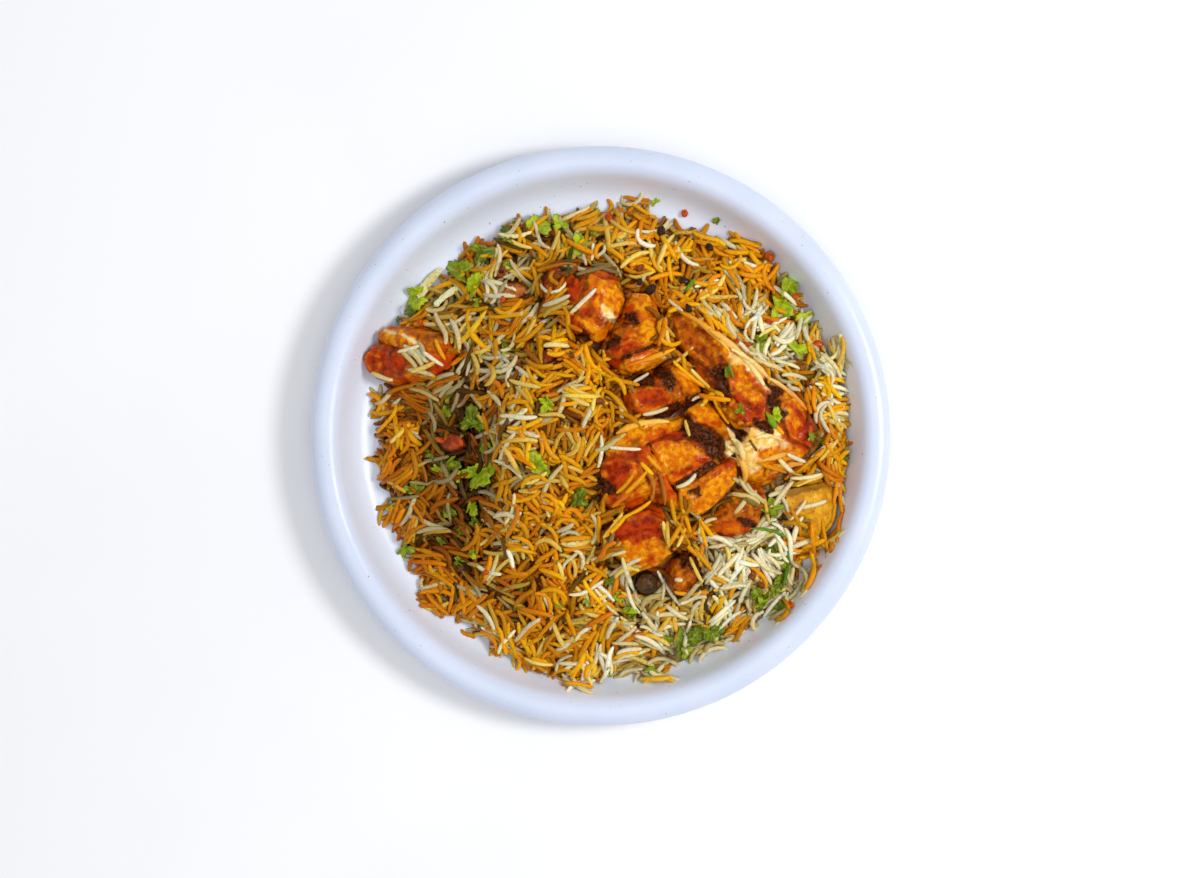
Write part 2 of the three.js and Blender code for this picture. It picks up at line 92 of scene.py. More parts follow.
def add_node(tree, kind, settings=None, **inputs):
    """A node with its settings. An input takes a value, or another node's output to be linked to it."""
    node = tree.nodes.new(kind)
    for name, value in (settings or {}).items():
        setattr(node, name, value)
    for name, value in inputs.items():
        put(tree, value, node.inputs[name.replace("_", " ")])
    return node


def new_material(name, **finish):
    """A material whose Principled shader takes the given inputs; the tree is returned with the shader."""
    material = bpy.data.materials.new(name)
    material.use_nodes = True
    shader = material.node_tree.nodes["Principled BSDF"]
    for socket, value in finish.items():
        shader.inputs[socket.replace("_", " ")].default_value = value
    return material, material.node_tree, shader


def dress(tree, shader, colour, roughness=None, relief=None):
    """Links what varies over a surface to its shader."""
    for value, socket in ((colour, "Base Color"), (roughness, "Roughness"), (relief, "Normal")):
        if value:
            tree.links.new(value, shader.inputs[socket])


def link_object(name, mesh, material=None):
    piece = bpy.data.objects.new(name, mesh)
    bpy.context.scene.collection.objects.link(piece)
    if material:
        mesh.materials.clear()
        mesh.materials.append(material)
    return piece


def unevenness_group():
    """Shader group: a soft random mask over the piece, cut off at two levels."""
    tree = bpy.data.node_groups.new("unevenness", "ShaderNodeTree")
    for name, value in (("Size", 0.004), ("Low", 0.4), ("High", 0.6), ("Detail", 3.0)):
        socket = tree.interface.new_socket(name, in_out="INPUT", socket_type="NodeSocketFloat")
        socket.default_value = value
    tree.interface.new_socket("Mask", in_out="OUTPUT", socket_type="NodeSocketFloat")
    given = tree.nodes.new("NodeGroupInput").outputs
    place = add_node(tree, "ShaderNodeTexCoord").outputs["Object"]
    scale = add_node(tree, "ShaderNodeMath", {"operation": "DIVIDE"})
    scale.inputs[0].default_value = 1.0
    tree.links.new(given["Size"], scale.inputs[1])
    cloud = add_node(
        tree, "ShaderNodeTexNoise", Vector=place, Scale=scale.outputs[0], Detail=given["Detail"],
    )
    levels = add_node(
        tree, "ShaderNodeMapRange", {"interpolation_type": "SMOOTHSTEP"},
        Value=cloud.outputs["Fac"], From_Min=given["Low"], From_Max=given["High"],
    )
    out = tree.nodes.new("NodeGroupOutput")
    tree.links.new(levels.outputs["Result"], out.inputs["Mask"])
    return tree


UNEVENNESS = unevenness_group()


def uneven(tree, size, low=0.4, high=0.6, detail=3.0):
    """The mask of the unevenness group, `size` in millimetres."""
    group = {"node_tree": UNEVENNESS}
    node = add_node(tree, "ShaderNodeGroup", group, Size=size * MM, Low=low, High=high, Detail=detail)
    return node.outputs["Mask"]


def mix(tree, factor, first, second, kind="RGBA", blend="MIX"):
    """Mixes two colours, or with kind FLOAT two numbers, by a factor."""
    node = tree.nodes.new("ShaderNodeMix")
    node.data_type = kind
    if kind == "RGBA":
        node.blend_type = blend
    sockets = {"FLOAT": (0, 2, 3, 0), "RGBA": (0, 6, 7, 2)}[kind]
    for value, index in zip((factor, first, second), sockets):
        put(tree, value, node.inputs[index])
    return node.outputs[sockets[3]]


scene = bpy.context.scene
scene.view_settings.view_transform = "Standard"

table_mesh = bpy.data.meshes.new("table_top")
half_table = TABLE_SIZE / 2 * MM
table_mesh.from_pydata(
    [(-half_table, -half_table, 0), (half_table, -half_table, 0), (half_table, half_table, 0),
     (-half_table, half_table, 0)],
    [], [(0, 1, 2, 3)],
)
table_finish, table_tree, table_shader = new_material("pale_table", Roughness=0.7)
table_tone = mix(table_tree, uneven(table_tree, 260), paint(246, 247, 249), paint(250, 250, 251))
dress(table_tree, table_shader, table_tone)
table = link_object("table_top", table_mesh, table_finish)

surround = bpy.data.worlds.new("surround")
surround.use_nodes = True
surround.node_tree.nodes["Background"].inputs["Color"].default_value = paint(250, 251, 255)
surround.node_tree.nodes["Background"].inputs["Strength"].default_value = SURROUND_STRENGTH
scene.world = surround

for name, place, size, power in LIGHTS:
    lamp = bpy.data.lights.new(name, "AREA")
    lamp.shape = "DISK"
    lamp.size = size * MM
    lamp.energy = power
    light = link_object(name, lamp)
    light.location = Vector(place) * MM
    light.rotation_mode = "QUATERNION"
    light.rotation_quaternion = (-light.location).to_track_quat("-Z", "Y")

camera_data = bpy.data.cameras.new("overhead_camera")
camera_data.lens = LENS
camera_data.sensor_width = SENSOR
camera = bpy.data.objects.new("overhead_camera", camera_data)
camera_rise = VIEW_COLUMNS * MM_PER_DOT * LENS / SENSOR
camera.location = Vector((
    (VIEW_COLUMNS / 2 - PLATE_COLUMN) * MM_PER_DOT,
    (PLATE_ROW - VIEW_ROWS / 2) * MM_PER_DOT,
    RIM_HEIGHT + camera_rise,
)) * MM
scene.collection.objects.link(camera)
scene.camera = camera

# ------------------------------------------------------------ the plate
# An 11 inch plate of white melamine, pressed in one piece: a flat floor, a short wall, a broad lip that
# rolls over at the edge, and a foot ring underneath.

PLATE_RADIUS, LIP_HEIGHT, CREST_RADIUS = 140, 20.5, 133
WALL_RADIUS, WALL_HEIGHT, FLAT_RADIUS = 123, 15, 108
FLOOR_TOP, PLATE_THICKNESS = 5, 2.6
FOOT_RADIUS, FOOT_WIDTH = 90, 3
PLATE_SECTORS, CURVE_STEPS = 208, 14
PAINTED_LIGHT_FROM, PAINTED_LIGHT_TO = 132, 126  # distance from the plate's middle; within it the plate is painted a little paler, painted light on its shaded wall and floor


def bump(tree, height, depth, strength=1.0, normal=None):
    """Fine relief `depth` millimetres deep."""
    node = add_node(tree, "ShaderNodeBump", Height=height, Distance=depth * MM, Strength=strength)
    if normal:
        tree.links.new(normal, node.inputs["Normal"])
    return node.outputs["Normal"]


def bezier(start, first_pull, second_pull, end):
    """The points of a curve after its start."""
    t = np.linspace(0, 1, CURVE_STEPS + 1)[1:, None]
    ends = (1 - t) ** 3 * np.array(start) + t**3 * np.array(end)
    pulls = 3 * (1 - t) ** 2 * t * np.array(first_pull) + 3 * (1 - t) * t**2 * np.array(second_pull)
    return [tuple(point) for point in ends + pulls]


def plate_section():
    """Half the plate's section as (distance from the axis, height): over the top face, then back under."""
    floor_bottom = FLOOR_TOP - PLATE_THICKNESS
    under_crest = RIM_HEIGHT - PLATE_THICKNESS
    foot_outer = FOOT_RADIUS + FOOT_WIDTH / 2
    foot_inner = FOOT_RADIUS - FOOT_WIDTH / 2
    top = [(0, FLOOR_TOP), (FLAT_RADIUS / 2, FLOOR_TOP), (FLAT_RADIUS, FLOOR_TOP)]
    top += bezier(top[-1], (FLAT_RADIUS + 9, FLOOR_TOP), (WALL_RADIUS - 3, WALL_HEIGHT - 6),
                  (WALL_RADIUS, WALL_HEIGHT))
    top += bezier(top[-1], (WALL_RADIUS + 2.5, WALL_HEIGHT + 5), (CREST_RADIUS - 6.5, RIM_HEIGHT),
                  (CREST_RADIUS, RIM_HEIGHT))
    top += bezier(top[-1], (PLATE_RADIUS - 3, RIM_HEIGHT), (PLATE_RADIUS - 0.4, RIM_HEIGHT - 2.4),
                  (PLATE_RADIUS, LIP_HEIGHT))
    under = [(PLATE_RADIUS - 1, LIP_HEIGHT - 1.2)]
    under += bezier(under[-1], (PLATE_RADIUS - 2.5, RIM_HEIGHT - 4.4), (CREST_RADIUS + 2.5, under_crest),
                    (CREST_RADIUS, under_crest))
    under += bezier(under[-1], (CREST_RADIUS - 3.6, under_crest), (WALL_RADIUS + 5.4, WALL_HEIGHT + 4),
                    (WALL_RADIUS + 3, WALL_HEIGHT - 1))
    under += bezier(under[-1], (WALL_RADIUS, WALL_HEIGHT - 7), (WALL_RADIUS - 5, floor_bottom),
                    (FLAT_RADIUS, floor_bottom))
    under += [(foot_outer + 0.6, floor_bottom), (foot_outer, 0.4), (foot_outer - 0.4, 0),
              (foot_inner + 0.4, 0), (foot_inner, 0.4), (foot_inner - 0.6, floor_bottom), (0, floor_bottom)]
    return top, under


def turned(name, section, sectors, material):
    """A closed solid turned about the Z axis. The section starts and ends on the axis."""
    radius, height = np.array(section).T
    bearing = np.linspace(0, 2 * np.pi, sectors, endpoint=False)
    rings = [
        np.column_stack([r * np.cos(bearing), r * np.sin(bearing), np.full(sectors, z)])
        for r, z in zip(radius[1:-1], height[1:-1])
    ]
    points = np.vstack([[(0, 0, height[0])], *rings, [(0, 0, height[-1])]]) * MM
    last = len(points) - 1
    faces = []
    for i in range(sectors):
        j = (i + 1) % sectors
        faces.append((0, 1 + i, 1 + j))
        for ring in range(len(rings) - 1):
            low, high = 1 + ring * sectors, 1 + (ring + 1) * sectors
            faces.append((low + i, high + i, high + j, low + j))
        edge = 1 + (len(rings) - 1) * sectors
        faces.append((last, edge + j, edge + i))
    mesh = bpy.data.meshes.new(name)
    mesh.from_pydata([tuple(point) for point in points], [], faces)
    mesh.shade_smooth()
    return link_object(name, mesh, material)


plate_finish, tree, shader = new_material(
    "white_melamine", Coat_Weight=0.25, Coat_Roughness=0.3, Specular_IOR_Level=0.4, Subsurface_Weight=0.08,
    Subsurface_Scale=0.004,
)
tone = mix(tree, uneven(tree, 34, 0.35, 0.65, 2), paint(208, 218, 238), paint(213, 222, 241))
place = add_node(tree, "ShaderNodeTexCoord").outputs["Object"]
reach = add_node(tree, "ShaderNodeVectorMath", {"operation": "LENGTH"}, Vector=place).outputs["Value"]
# Painted light: inside the rim the plate is painted paler, to lighten the shade on its wall and floor.
painted_light_share = add_node(tree, "ShaderNodeMapRange", Value=reach, From_Min=PAINTED_LIGHT_FROM * MM, From_Max=PAINTED_LIGHT_TO * MM)
tone = mix(tree, painted_light_share.outputs["Result"], tone, paint(226, 233, 248))
speck = mix(tree, uneven(tree, 1.9, 0.765, 0.79, 1), tone, paint(176, 160, 140))
gloss = mix(tree, uneven(tree, 9, 0.35, 0.7, 4), 0.3, 0.42, "FLOAT")
dress(tree, shader, speck, gloss, bump(tree, uneven(tree, 18, 0.2, 0.8, 2), 0.12))

plate_top, plate_under = plate_section()
plate = turned("melamine_plate", plate_top + plate_under, PLATE_SECTORS, plate_finish)
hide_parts("plate")
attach(plate, "root")

# ------------------------------------------------------------ the roast chicken
# Pieces of a jointed chicken, rubbed with red spice paste and roasted: a glossy skin that goes from gold
# through orange to dark red, charred where it stood proud, scored to the bone, and torn open to pale flesh.

# Part of the skin's gold is painted highlight on what stands proud, and part of its red and char is painted
# shade on the sides, in creases and round the cut faces.
VOXEL, SMOOTHING = 0.6, 9  # size of the faces, and rounds of smoothing
CEILING = cad_box[1].z / MM  # nothing rises past the part's own top
CLEARANCE = 0.1


def on_plan(column, row):
    """A point of the view, in the dots of its 1200 by 878, as millimetres on the plan of the plate."""
    return (column - PLATE_COLUMN) * MM_PER_DOT, (PLATE_ROW - row) * MM_PER_DOT


def random_field(points, size, seed):
    """Smooth random values from -1 to 1 that change over about `size` millimetres."""
    place = points / size + seed * 7.31
    corner = np.floor(place).astype(np.int64)
    share = place - corner
    share = share * share * (3 - 2 * share)
    total = np.zeros(len(points))
    for step in np.ndindex(2, 2, 2):
        code = (corner + step) @ np.array([73856093, 19349663, 83492791])
        code = ((code ^ (code >> 13)) * 1274126177) & 0x7FFFFFFF
        code = ((code ^ (code >> 11)) * 668265263) & 0x7FFFFFFF
        total += np.prod(np.where(step, share, 1 - share), axis=1) * code
    return total / 0x3FFFFFFF - 1


def distance_to_path(points, path):
    """How far points of the plan lie from a line through dots of the view."""
    corners = np.array([on_plan(*dot) for dot in path])
    if len(corners) == 1:
        return np.hypot(*(points[:, :2] - corners[0]).T)
    best = np.full(len(points), np.inf)
    for start, end in zip(corners[:-1], corners[1:]):
        along = end - start
        share = np.clip((points[:, :2] - start) @ along / (along @ along), 0, 1)
        best = np.minimum(best, np.hypot(*(points[:, :2] - start - share[:, None] * along).T))
    return best


def mesh_points(mesh, what="co"):
    values = np.empty(len(mesh.vertices) * 3)
    mesh.vertices.foreach_get(what, values)
    return values.reshape(-1, 3)


def set_points(mesh, points):
    mesh.vertices.foreach_set("co", np.asarray(points, float).ravel())
    mesh.update()


def mark_points(mesh, name, values):
    """Stores a number, or a colour, for each point of a mesh."""
    kind, field = ("FLOAT", "value") if values.ndim == 1 else ("FLOAT_COLOR", "color")
    mesh.attributes.new(name, kind, "POINT").data.foreach_set(field, values.astype(np.float32).ravel())


def marked(tree, name, output="Fac"):
    """What a mesh has stored under a name: a number, or with output Color a colour."""
    return add_node(tree, "ShaderNodeAttribute", {"attribute_name": name}).outputs[output]


def fine_copy(node, name, material, voxel=VOXEL, smoothing=SMOOTHING):
    """A piece with the form of a solid of the part, in small even faces, its facets smoothed away."""
    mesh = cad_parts[node].data.copy()
    work = bmesh.new()
    work.from_mesh(mesh)
    bmesh.ops.remove_doubles(work, verts=work.verts, dist=1e-6)
    work.to_mesh(mesh)
    work.free()
    draft = link_object(name + "_draft", mesh)
    even = draft.modifiers.new("even", "REMESH")
    even.mode = "VOXEL"
    even.voxel_size = voxel * MM
    soft = draft.modifiers.new("soft", "SMOOTH")
    soft.factor = 0.5
    soft.iterations = smoothing
    evaluated = draft.evaluated_get(bpy.context.evaluated_depsgraph_get())
    fine = bpy.data.meshes.new_from_object(evaluated)
    fine.name = name
    bpy.data.objects.remove(draft)
    fine.shade_smooth()
    return link_object(name, fine, material)


# Marks on the meat: the finish, the width of the brush in millimetres, and the dots it runs over.
MARKS = [
    # knuckle end
    ("red", 14, [(552, 278), (558, 286)]), ("red", 9, [(556, 298), (570, 306), (584, 322), (598, 332)]),
    ("gold", 6, [(594, 286), (614, 296)]), ("gold", 6, [(600, 304), (614, 308)]),
    ("gold", 4, [(586, 322), (596, 334)]), ("red", 9, [(566, 284), (590, 296)]),
    ("red", 6, [(612, 318), (600, 332)]), ("red", 4, [(578, 292), (592, 300)]),
    # The pale streak across the knuckle is a painted highlight.
    ("pale", 3.5, [(603, 308), (608, 320)]), ("char_and_shade", 4, [(581, 334), (592, 340), (602, 346)]),
    ("char_and_shade", 4, [(627, 300), (621, 317), (602, 346)]),
    # shoulder
    ("gold", 10, [(626, 286), (640, 300), (649, 314)]), ("char_and_shade", 6, [(633, 321)]),
    ("brown", 6, [(612, 338), (628, 330)]), ("char_and_shade", 3.5, [(604, 352), (618, 342)]),
    ("red", 12, [(608, 362), (622, 346)]), ("gold", 11, [(644, 334), (662, 346)]),
    ("char_and_shade", 2, [(622, 359), (640, 353), (656, 346)]), ("gold", 5, [(626, 368), (650, 359), (674, 350)]),
    ("pale", 1.8, [(640, 361), (662, 354)]),
    # middle piece
    ("red", 10, [(640, 396), (662, 398)]), ("char_and_shade", 7, [(634, 376), (648, 382)]),
    ("char_and_shade", 6, [(657, 374), (668, 384)]), ("gold", 9, [(680, 374), (700, 388)]),
    ("brown", 7, [(672, 392), (690, 396)]), ("char_and_shade", 4.5, [(656, 414), (674, 408), (702, 394)]),
    # breast
    ("brown", 13, [(668, 320), (692, 338), (718, 372)]), ("red", 7, [(676, 330), (704, 352)]),
    ("gold", 5, [(672, 308), (700, 325), (732, 354)]), ("pale", 8, [(734, 356), (750, 368), (766, 384)]),
    ("gold", 4, [(714, 338), (734, 366), (744, 384)]), ("char_and_shade", 8, [(716, 374), (722, 396)]),
    ("char_and_shade", 4, [(763, 384), (778, 394)]), ("char_and_shade", 6, [(770, 400), (778, 416)]),
    ("char_and_shade", 5, [(756, 422), (768, 431)]), ("gold", 7, [(778, 390), (800, 404)]),
    ("red", 12, [(734, 404), (756, 416)]), ("gold", 6, [(740, 388), (752, 396)]),
    ("red", 6, [(814, 408), (812, 440)]), ("gold", 4, [(786, 412), (794, 424)]),
    ("red", 8, [(800, 408), (808, 436)]), ("red", 4, [(780, 424), (792, 440)]),
    ("char_and_shade", 5, [(732, 428), (740, 434)]), ("pale", 9, [(740, 438), (748, 448)]),
    ("pale", 7, [(742, 452), (752, 464)]), ("pale", 10, [(740, 440), (752, 440), (770, 436)]),
    ("pale", 4, [(772, 438), (782, 444)]), ("gold", 9, [(766, 450), (776, 456)]),
    ("brown", 5, [(782, 446), (794, 452)]), ("brown", 7, [(776, 466), (790, 462)]),
    ("gold", 6, [(788, 452), (800, 456), (816, 452)]), ("pale", 5, [(724, 446), (736, 462)]),
    ("gold", 11, [(742, 468), (756, 474)]), ("pale", 4, [(741, 466), (738, 482)]),
    ("char_and_shade", 1.4, [(748, 441), (755, 450)]), ("gold", 4, [(752, 448), (762, 462)]),
    ("brown", 11, [(780, 468), (804, 474), (824, 460)]),
    # scored thigh
    ("gold", 6, [(612, 446), (640, 440)]), ("gold", 9, [(616, 434), (640, 425), (674, 420)]),
    ("pale", 3, [(634, 428), (664, 423)]), ("gold", 12, [(692, 412), (706, 406), (722, 414), (730, 426)]),
    ("char_and_shade", 10, [(688, 428), (704, 438), (716, 448)]), ("brown", 5, [(712, 430), (724, 438)]),
    ("red", 5, [(664, 436), (680, 442)]), ("gold", 12, [(664, 458), (680, 454)]),
    ("red", 6, [(698, 456), (714, 458)]), ("red", 5, [(668, 472), (686, 466)]),
    ("gold", 3, [(684, 446), (700, 452)]), ("red", 5, [(700, 470), (732, 460)]),
    ("gold", 15, [(688, 500), (706, 496), (728, 484)]), ("red", 4, [(680, 492), (692, 482), (716, 474)]),
    ("char_and_shade", 6, [(694, 491)]), ("char_and_shade", 4, [(684, 507), (690, 514)]),
    ("red", 13, [(606, 462), (608, 500)]), ("char_and_shade", 5, [(602, 478), (612, 490)]),
    ("gold", 4, [(612, 508), (628, 490)]), ("red", 9, [(618, 470), (630, 458)]),
    ("brown", 10, [(648, 474), (652, 496)]), ("gold", 5, [(634, 474), (644, 488)]),
    ("char_and_shade", 1.6, [(648, 444), (672, 487), (690, 515)]),
    ("char_and_shade", 1.6, [(733, 456), (705, 464), (676, 484)]),
    # thigh end, tip and flank
    ("red", 9, [(614, 532), (648, 518)]), ("gold", 7, [(622, 549), (640, 553)]),
    ("gold", 8, [(650, 546), (668, 544)]), ("red", 7, [(640, 536), (660, 528)]),
    ("char_and_shade", 9, [(676, 548), (688, 560)]), ("brown", 7, [(664, 558), (676, 552)]),
    ("brown", 12, [(680, 566), (684, 580), (682, 592)]), ("brown", 16, [(706, 506), (750, 502)]),
    ("gold", 6, [(708, 500), (722, 496)]), ("char_and_shade", 4, [(738, 518), (752, 524)]),
    # drumstick end
    ("red", 13, [(380, 358), (394, 368)]), ("gold", 6, [(384, 334), (410, 342)]),
    ("brown", 9, [(412, 332), (434, 344)]), ("brown", 5, [(376, 340), (400, 345)]),
    ("red", 8, [(412, 362), (436, 368)]), ("pale", 1.6, [(382, 332), (396, 335)]),
    ("pale", 1.4, [(404, 337), (420, 346)]), ("brown", 5, [(378, 344), (398, 338), (424, 350)]),
    ("char_and_shade", 1.8, [(392, 352), (404, 348)]),
]

# Relief of the meat: depth (down) or height (up), the width and the line of each score, tear or ridge.
RELIEF = [
    (-1.9, 3.4, [(647, 443), (672, 487), (690, 515)]), (-1.9, 3.4, [(733, 456), (705, 463), (674, 485)]),
    (1.6, 5, [(674, 309), (702, 327), (736, 358), (762, 388)]),
    (-1.5, 7, [(668, 328), (704, 356), (728, 396)]), (-2.6, 5, [(732, 428), (742, 436)]),
    (-1.4, 4, [(694, 491)]), (-1.6, 6, [(684, 426), (706, 438), (722, 448)]),
    (-1.6, 3, [(764, 384), (784, 402)]), (-1.5, 4, [(600, 345), (634, 338)]),
    (-1.8, 3.5, [(754, 462), (764, 436)]), (1.4, 5, [(624, 368), (672, 350)]),
    (-1.2, 4, [(581, 336), (602, 346)]), (-1.4, 3.5, [(656, 412), (690, 396)]),
    (1.2, 5, [(674, 370), (702, 388)]), (1.2, 6, [(740, 446), (752, 462)]),
    (-1.2, 3, [(776, 440), (790, 470)]), (1.6, 6, [(618, 432), (644, 424), (676, 420)]),
    (-1.8, 4, [(644, 440), (660, 436), (682, 424)]), (-1.6, 4, [(622, 358), (640, 352), (656, 345)]),
    (-1.3, 4, [(570, 306), (584, 318), (598, 322)]), (1.2, 5, [(592, 286), (618, 296)]),
    (-1.5, 4, [(634, 462), (640, 478), (630, 492), (612, 508)]), (1.2, 4, [(612, 510), (630, 488)]),
    (-1.4, 4, [(614, 540), (640, 530), (660, 534)]), (1.2, 6, [(690, 412), (722, 410)]),
    (-1.4, 3.5, [(768, 396), (778, 420), (756, 432)]), (1.0, 5, [(786, 406), (804, 436)]),
    (-1.4, 4, [(636, 386), (668, 386)]), (-2.2, 4, [(664, 566), (680, 572), (692, 590)]),
    (-1.6, 4, [(688, 552), (690, 566), (700, 574)]), (-1.3, 3, [(380, 344), (398, 350), (424, 348)]),
    (1.2, 5, [(382, 334), (412, 342)]),
]
# Flat faces that the knife and the tearing left, each as its outline in dots of the view.
CUT_FACES = [
    [(674, 487), (690, 479), (712, 466), (734, 457), (739, 478), (728, 495), (706, 520), (689, 508)],
    [(649, 444), (664, 439), (690, 446), (712, 458), (700, 468), (672, 483), (659, 462)],
    [(684, 416), (700, 403), (716, 407), (731, 428), (720, 434)],
    [(604, 464), (616, 456), (638, 462), (645, 478), (630, 491), (610, 507), (603, 488)],
    [(604, 537), (620, 520), (648, 512), (662, 521), (672, 545), (655, 561), (630, 561), (612, 556)],
    [(588, 282), (612, 283), (620, 300), (616, 318), (600, 322), (590, 306)],
    [(552, 292), (572, 276), (584, 290), (578, 308), (560, 304)],
    [(622, 359), (640, 350), (664, 342), (674, 350), (652, 362), (630, 371)],
    [(630, 392), (648, 386), (668, 388), (674, 402), (652, 412), (636, 408)],
    [(672, 374), (688, 366), (704, 384), (698, 394), (682, 394)],
    [(672, 322), (684, 320), (714, 350), (722, 376), (704, 366), (680, 344)],
    [(728, 392), (746, 386), (764, 398), (764, 422), (744, 426), (730, 412)],
    [(776, 404), (792, 400), (812, 424), (808, 446), (788, 438)],
]
FLATTENED, SMOOTHER = 0.85, 0.7  # how far a cut face is levelled, and how much less lumpy it is
SMALLEST_CUT = 40  # a cut face with fewer points than this isn't levelled
RAGGED = [(2.6, 3, 0.6), (1.1, 4, 0.45)]  # unevenness of the marks' edges: size, seed and reach
SKIN_LUMPS = [
    # size, height, and the share of it that goes into creases
    (11, 1.1, 0.3), (5, 0.6, 0.8), (2.4, 0.22, 0.7), (1.1, 0.08, 0.2),
]
FIBRES = [(2.6, 6, 0.75), (1.2, 9, 0.42)]  # thickness, how many times longer, height
SPREAD = 2.2  # how far the pieces press out against each other and the rice


def depth_inside(points, outline):
    """How far points of the plan lie inside an outline of dots of the view; negative outside it."""
    corners = np.array([on_plan(*dot) for dot in outline])
    x, y = points[:, 0], points[:, 1]
    is_inside = np.zeros(len(points), bool)
    for start, end in zip(corners, np.roll(corners, -1, axis=0)):
        crosses = (start[1] > y) != (end[1] > y)
        rise = end[1] - start[1]
        is_inside ^= crosses & (x < start[0] + (y - start[1]) * (end[0] - start[0]) / (rise if rise else 1))
    away = distance_to_path(points, [*outline, outline[0]])
    return np.where(is_inside, away, -away)


def roast(piece, seed, bearing):
    """Shapes a piece of chicken whose fibres run along `bearing`, and marks the finishes of its skin,
    painted shade and highlights among them.
    """
    mesh = piece.data
    points = mesh_points(mesh) / MM
    normals = mesh_points(mesh, "normal")
    masks = {name: np.zeros(len(points)) for name in ("red", "brown", "gold", "pale", "char_and_shade")}
    ragged = sum(random_field(points, size, seed) * reach for size, seed, reach in RAGGED)
    for name, width, path in MARKS:
        away = distance_to_path(points, path) + ragged * min(width * 0.4, 2.2)
        mask = np.clip((width / 2 - away) / (0.2 * width + 0.25) + 0.5, 0, 1)
        masks[name] = np.maximum(masks[name], mask)
    # The sides are pressed out, and painted redder and darker than the top: painted shade on the flanks.
    side = 1 - np.abs(normals[:, 2])
    masks["red"] = np.clip(masks["red"] + 0.7 * np.clip(side - 0.45, 0, 1), 0, 1)
    lift = SPREAD * side * (1 + 0.5 * random_field(points, 5, seed + 9))
    for height, width, path in RELIEF:
        away = distance_to_path(points, path) / (width / 2)
        profile = np.exp(-1.3 * away) if height < 0 else np.exp(-away**2)
        lift += height * profile * np.clip(normals[:, 2] * 1.5, 0, 1)
    # Each cut face is levelled. A dark seam round it is painted shade at its edge, and a golden lip just
    # inside its edge is a painted highlight.
    flat = np.zeros(len(points))
    for outline in CUT_FACES:
        depth = depth_inside(points, outline)
        seam = np.exp(-(((depth + 0.5) / 0.7) ** 2)) * np.clip(0.75 + ragged, 0, 1)
        lip = np.exp(-(((depth - 1.1) / 0.7) ** 2)) * np.clip(0.4 + ragged, 0, 1)
        masks["brown"] = np.maximum(masks["brown"], seam)
        masks["char_and_shade"] = np.maximum(masks["char_and_shade"], 0.6 * seam)
        masks["gold"] = np.maximum(masks["gold"], 0.9 * lip)
        share = np.clip(depth / 1.2 + 0.4, 0, 1) * np.clip(normals[:, 2] * 4 - 1, 0, 1)
        level = share > 0.5
        if level.sum() > SMALLEST_CUT:
            spot = np.column_stack([points[:, :2], np.ones(len(points))])
            plane = np.linalg.lstsq(spot[level], points[level, 2], rcond=None)[0]
            lift += FLATTENED * share * np.clip(spot @ plane - points[:, 2], -3, 3)
            flat = np.maximum(flat, share)
    # Lumps and creases of the skin, and the fibres of the meat under it.
    relief = np.zeros(len(points))
    for size, height, crease in SKIN_LUMPS:
        lump = random_field(points, size, seed)
        relief += height * ((1 - crease) * lump + crease * (0.45 - np.abs(lump)) * 1.6)
    along = points[:, 0] * math.cos(bearing) + points[:, 1] * math.sin(bearing)
    across = points[:, 1] * math.cos(bearing) - points[:, 0] * math.sin(bearing)
    for size, longer, height in FIBRES:
        strand = random_field(np.column_stack([along / longer, across, points[:, 2]]), size, seed + 20)
        relief += height * (0.4 - np.abs(strand))
    relief *= 1 - SMOOTHER * np.maximum(flat, 1.2 * masks["pale"])
    # What stands proud is painted golden, a painted highlight, and the creases red or near black, painted
    # shade.
    masks["gold"] = np.maximum(masks["gold"], 0.8 * np.clip((relief - 0.5) / 0.7, 0, 1))
    masks["red"] = np.maximum(masks["red"], 0.9 * np.clip((-0.05 - relief) / 0.6, 0, 1))
    masks["char_and_shade"] = np.maximum(masks["char_and_shade"], 0.55 * np.clip((-0.5 - relief) / 0.5, 0, 1))
    lift += relief
    lift *= np.clip((points[:, 2] - points[:, 2].min() - 1) / 5, 0, 1)  # the underside stays as it is
    shaped = points + normals * lift[:, None]
    shaped[:, 2] = np.minimum(shaped[:, 2], CEILING - 2 * CLEARANCE)
    set_points(mesh, shaped * MM)
    for name, mask in masks.items():
        mark_points(mesh, name, mask)


chicken_finish, tree, shader = new_material(
    "roast_skin", Coat_Weight=0.1, Coat_Roughness=0.08, Subsurface_Weight=0.1, Subsurface_Scale=0.003,
    Subsurface_Radius=(1.0, 0.35, 0.1), Specular_IOR_Level=0.15, Specular_Tint=(1.0, 0.5, 0.12, 1.0),
)

# The two colours of each finish, which lie in patches.
roast_colours = {
    "red": mix(tree, uneven(tree, 3.5, 0.36, 0.64), paint(132, 24, 2), paint(192, 58, 3)),
    "brown": mix(tree, uneven(tree, 3, 0.36, 0.64), paint(128, 50, 4), paint(190, 92, 6)),
    "gold": mix(tree, uneven(tree, 2.8, 0.36, 0.62), paint(240, 162, 6), paint(212, 106, 2)),
    "pale": mix(tree, uneven(tree, 5, 0.4, 0.6), paint(255, 232, 168), paint(250, 200, 90)),
    "char_and_shade": mix(tree, uneven(tree, 1.5, 0.42, 0.62), paint(30, 10, 3), paint(92, 32, 4)),
}
skin = mix(tree, uneven(tree, 6, 0.4, 0.62, 4), paint(212, 86, 2), paint(182, 56, 2))
for name in ("red", "brown", "gold", "pale"):
    skin = mix(tree, marked(tree, name), skin, roast_colours[name])
mottled = mix(tree, 1.0, skin, (0.66, 0.4, 0.28, 1), blend="MULTIPLY")
skin = mix(tree, uneven(tree, 4.2, 0.44, 0.74, 3), skin, mottled)
speckled = mix(tree, 0.3, skin, paint(130, 40, 4))
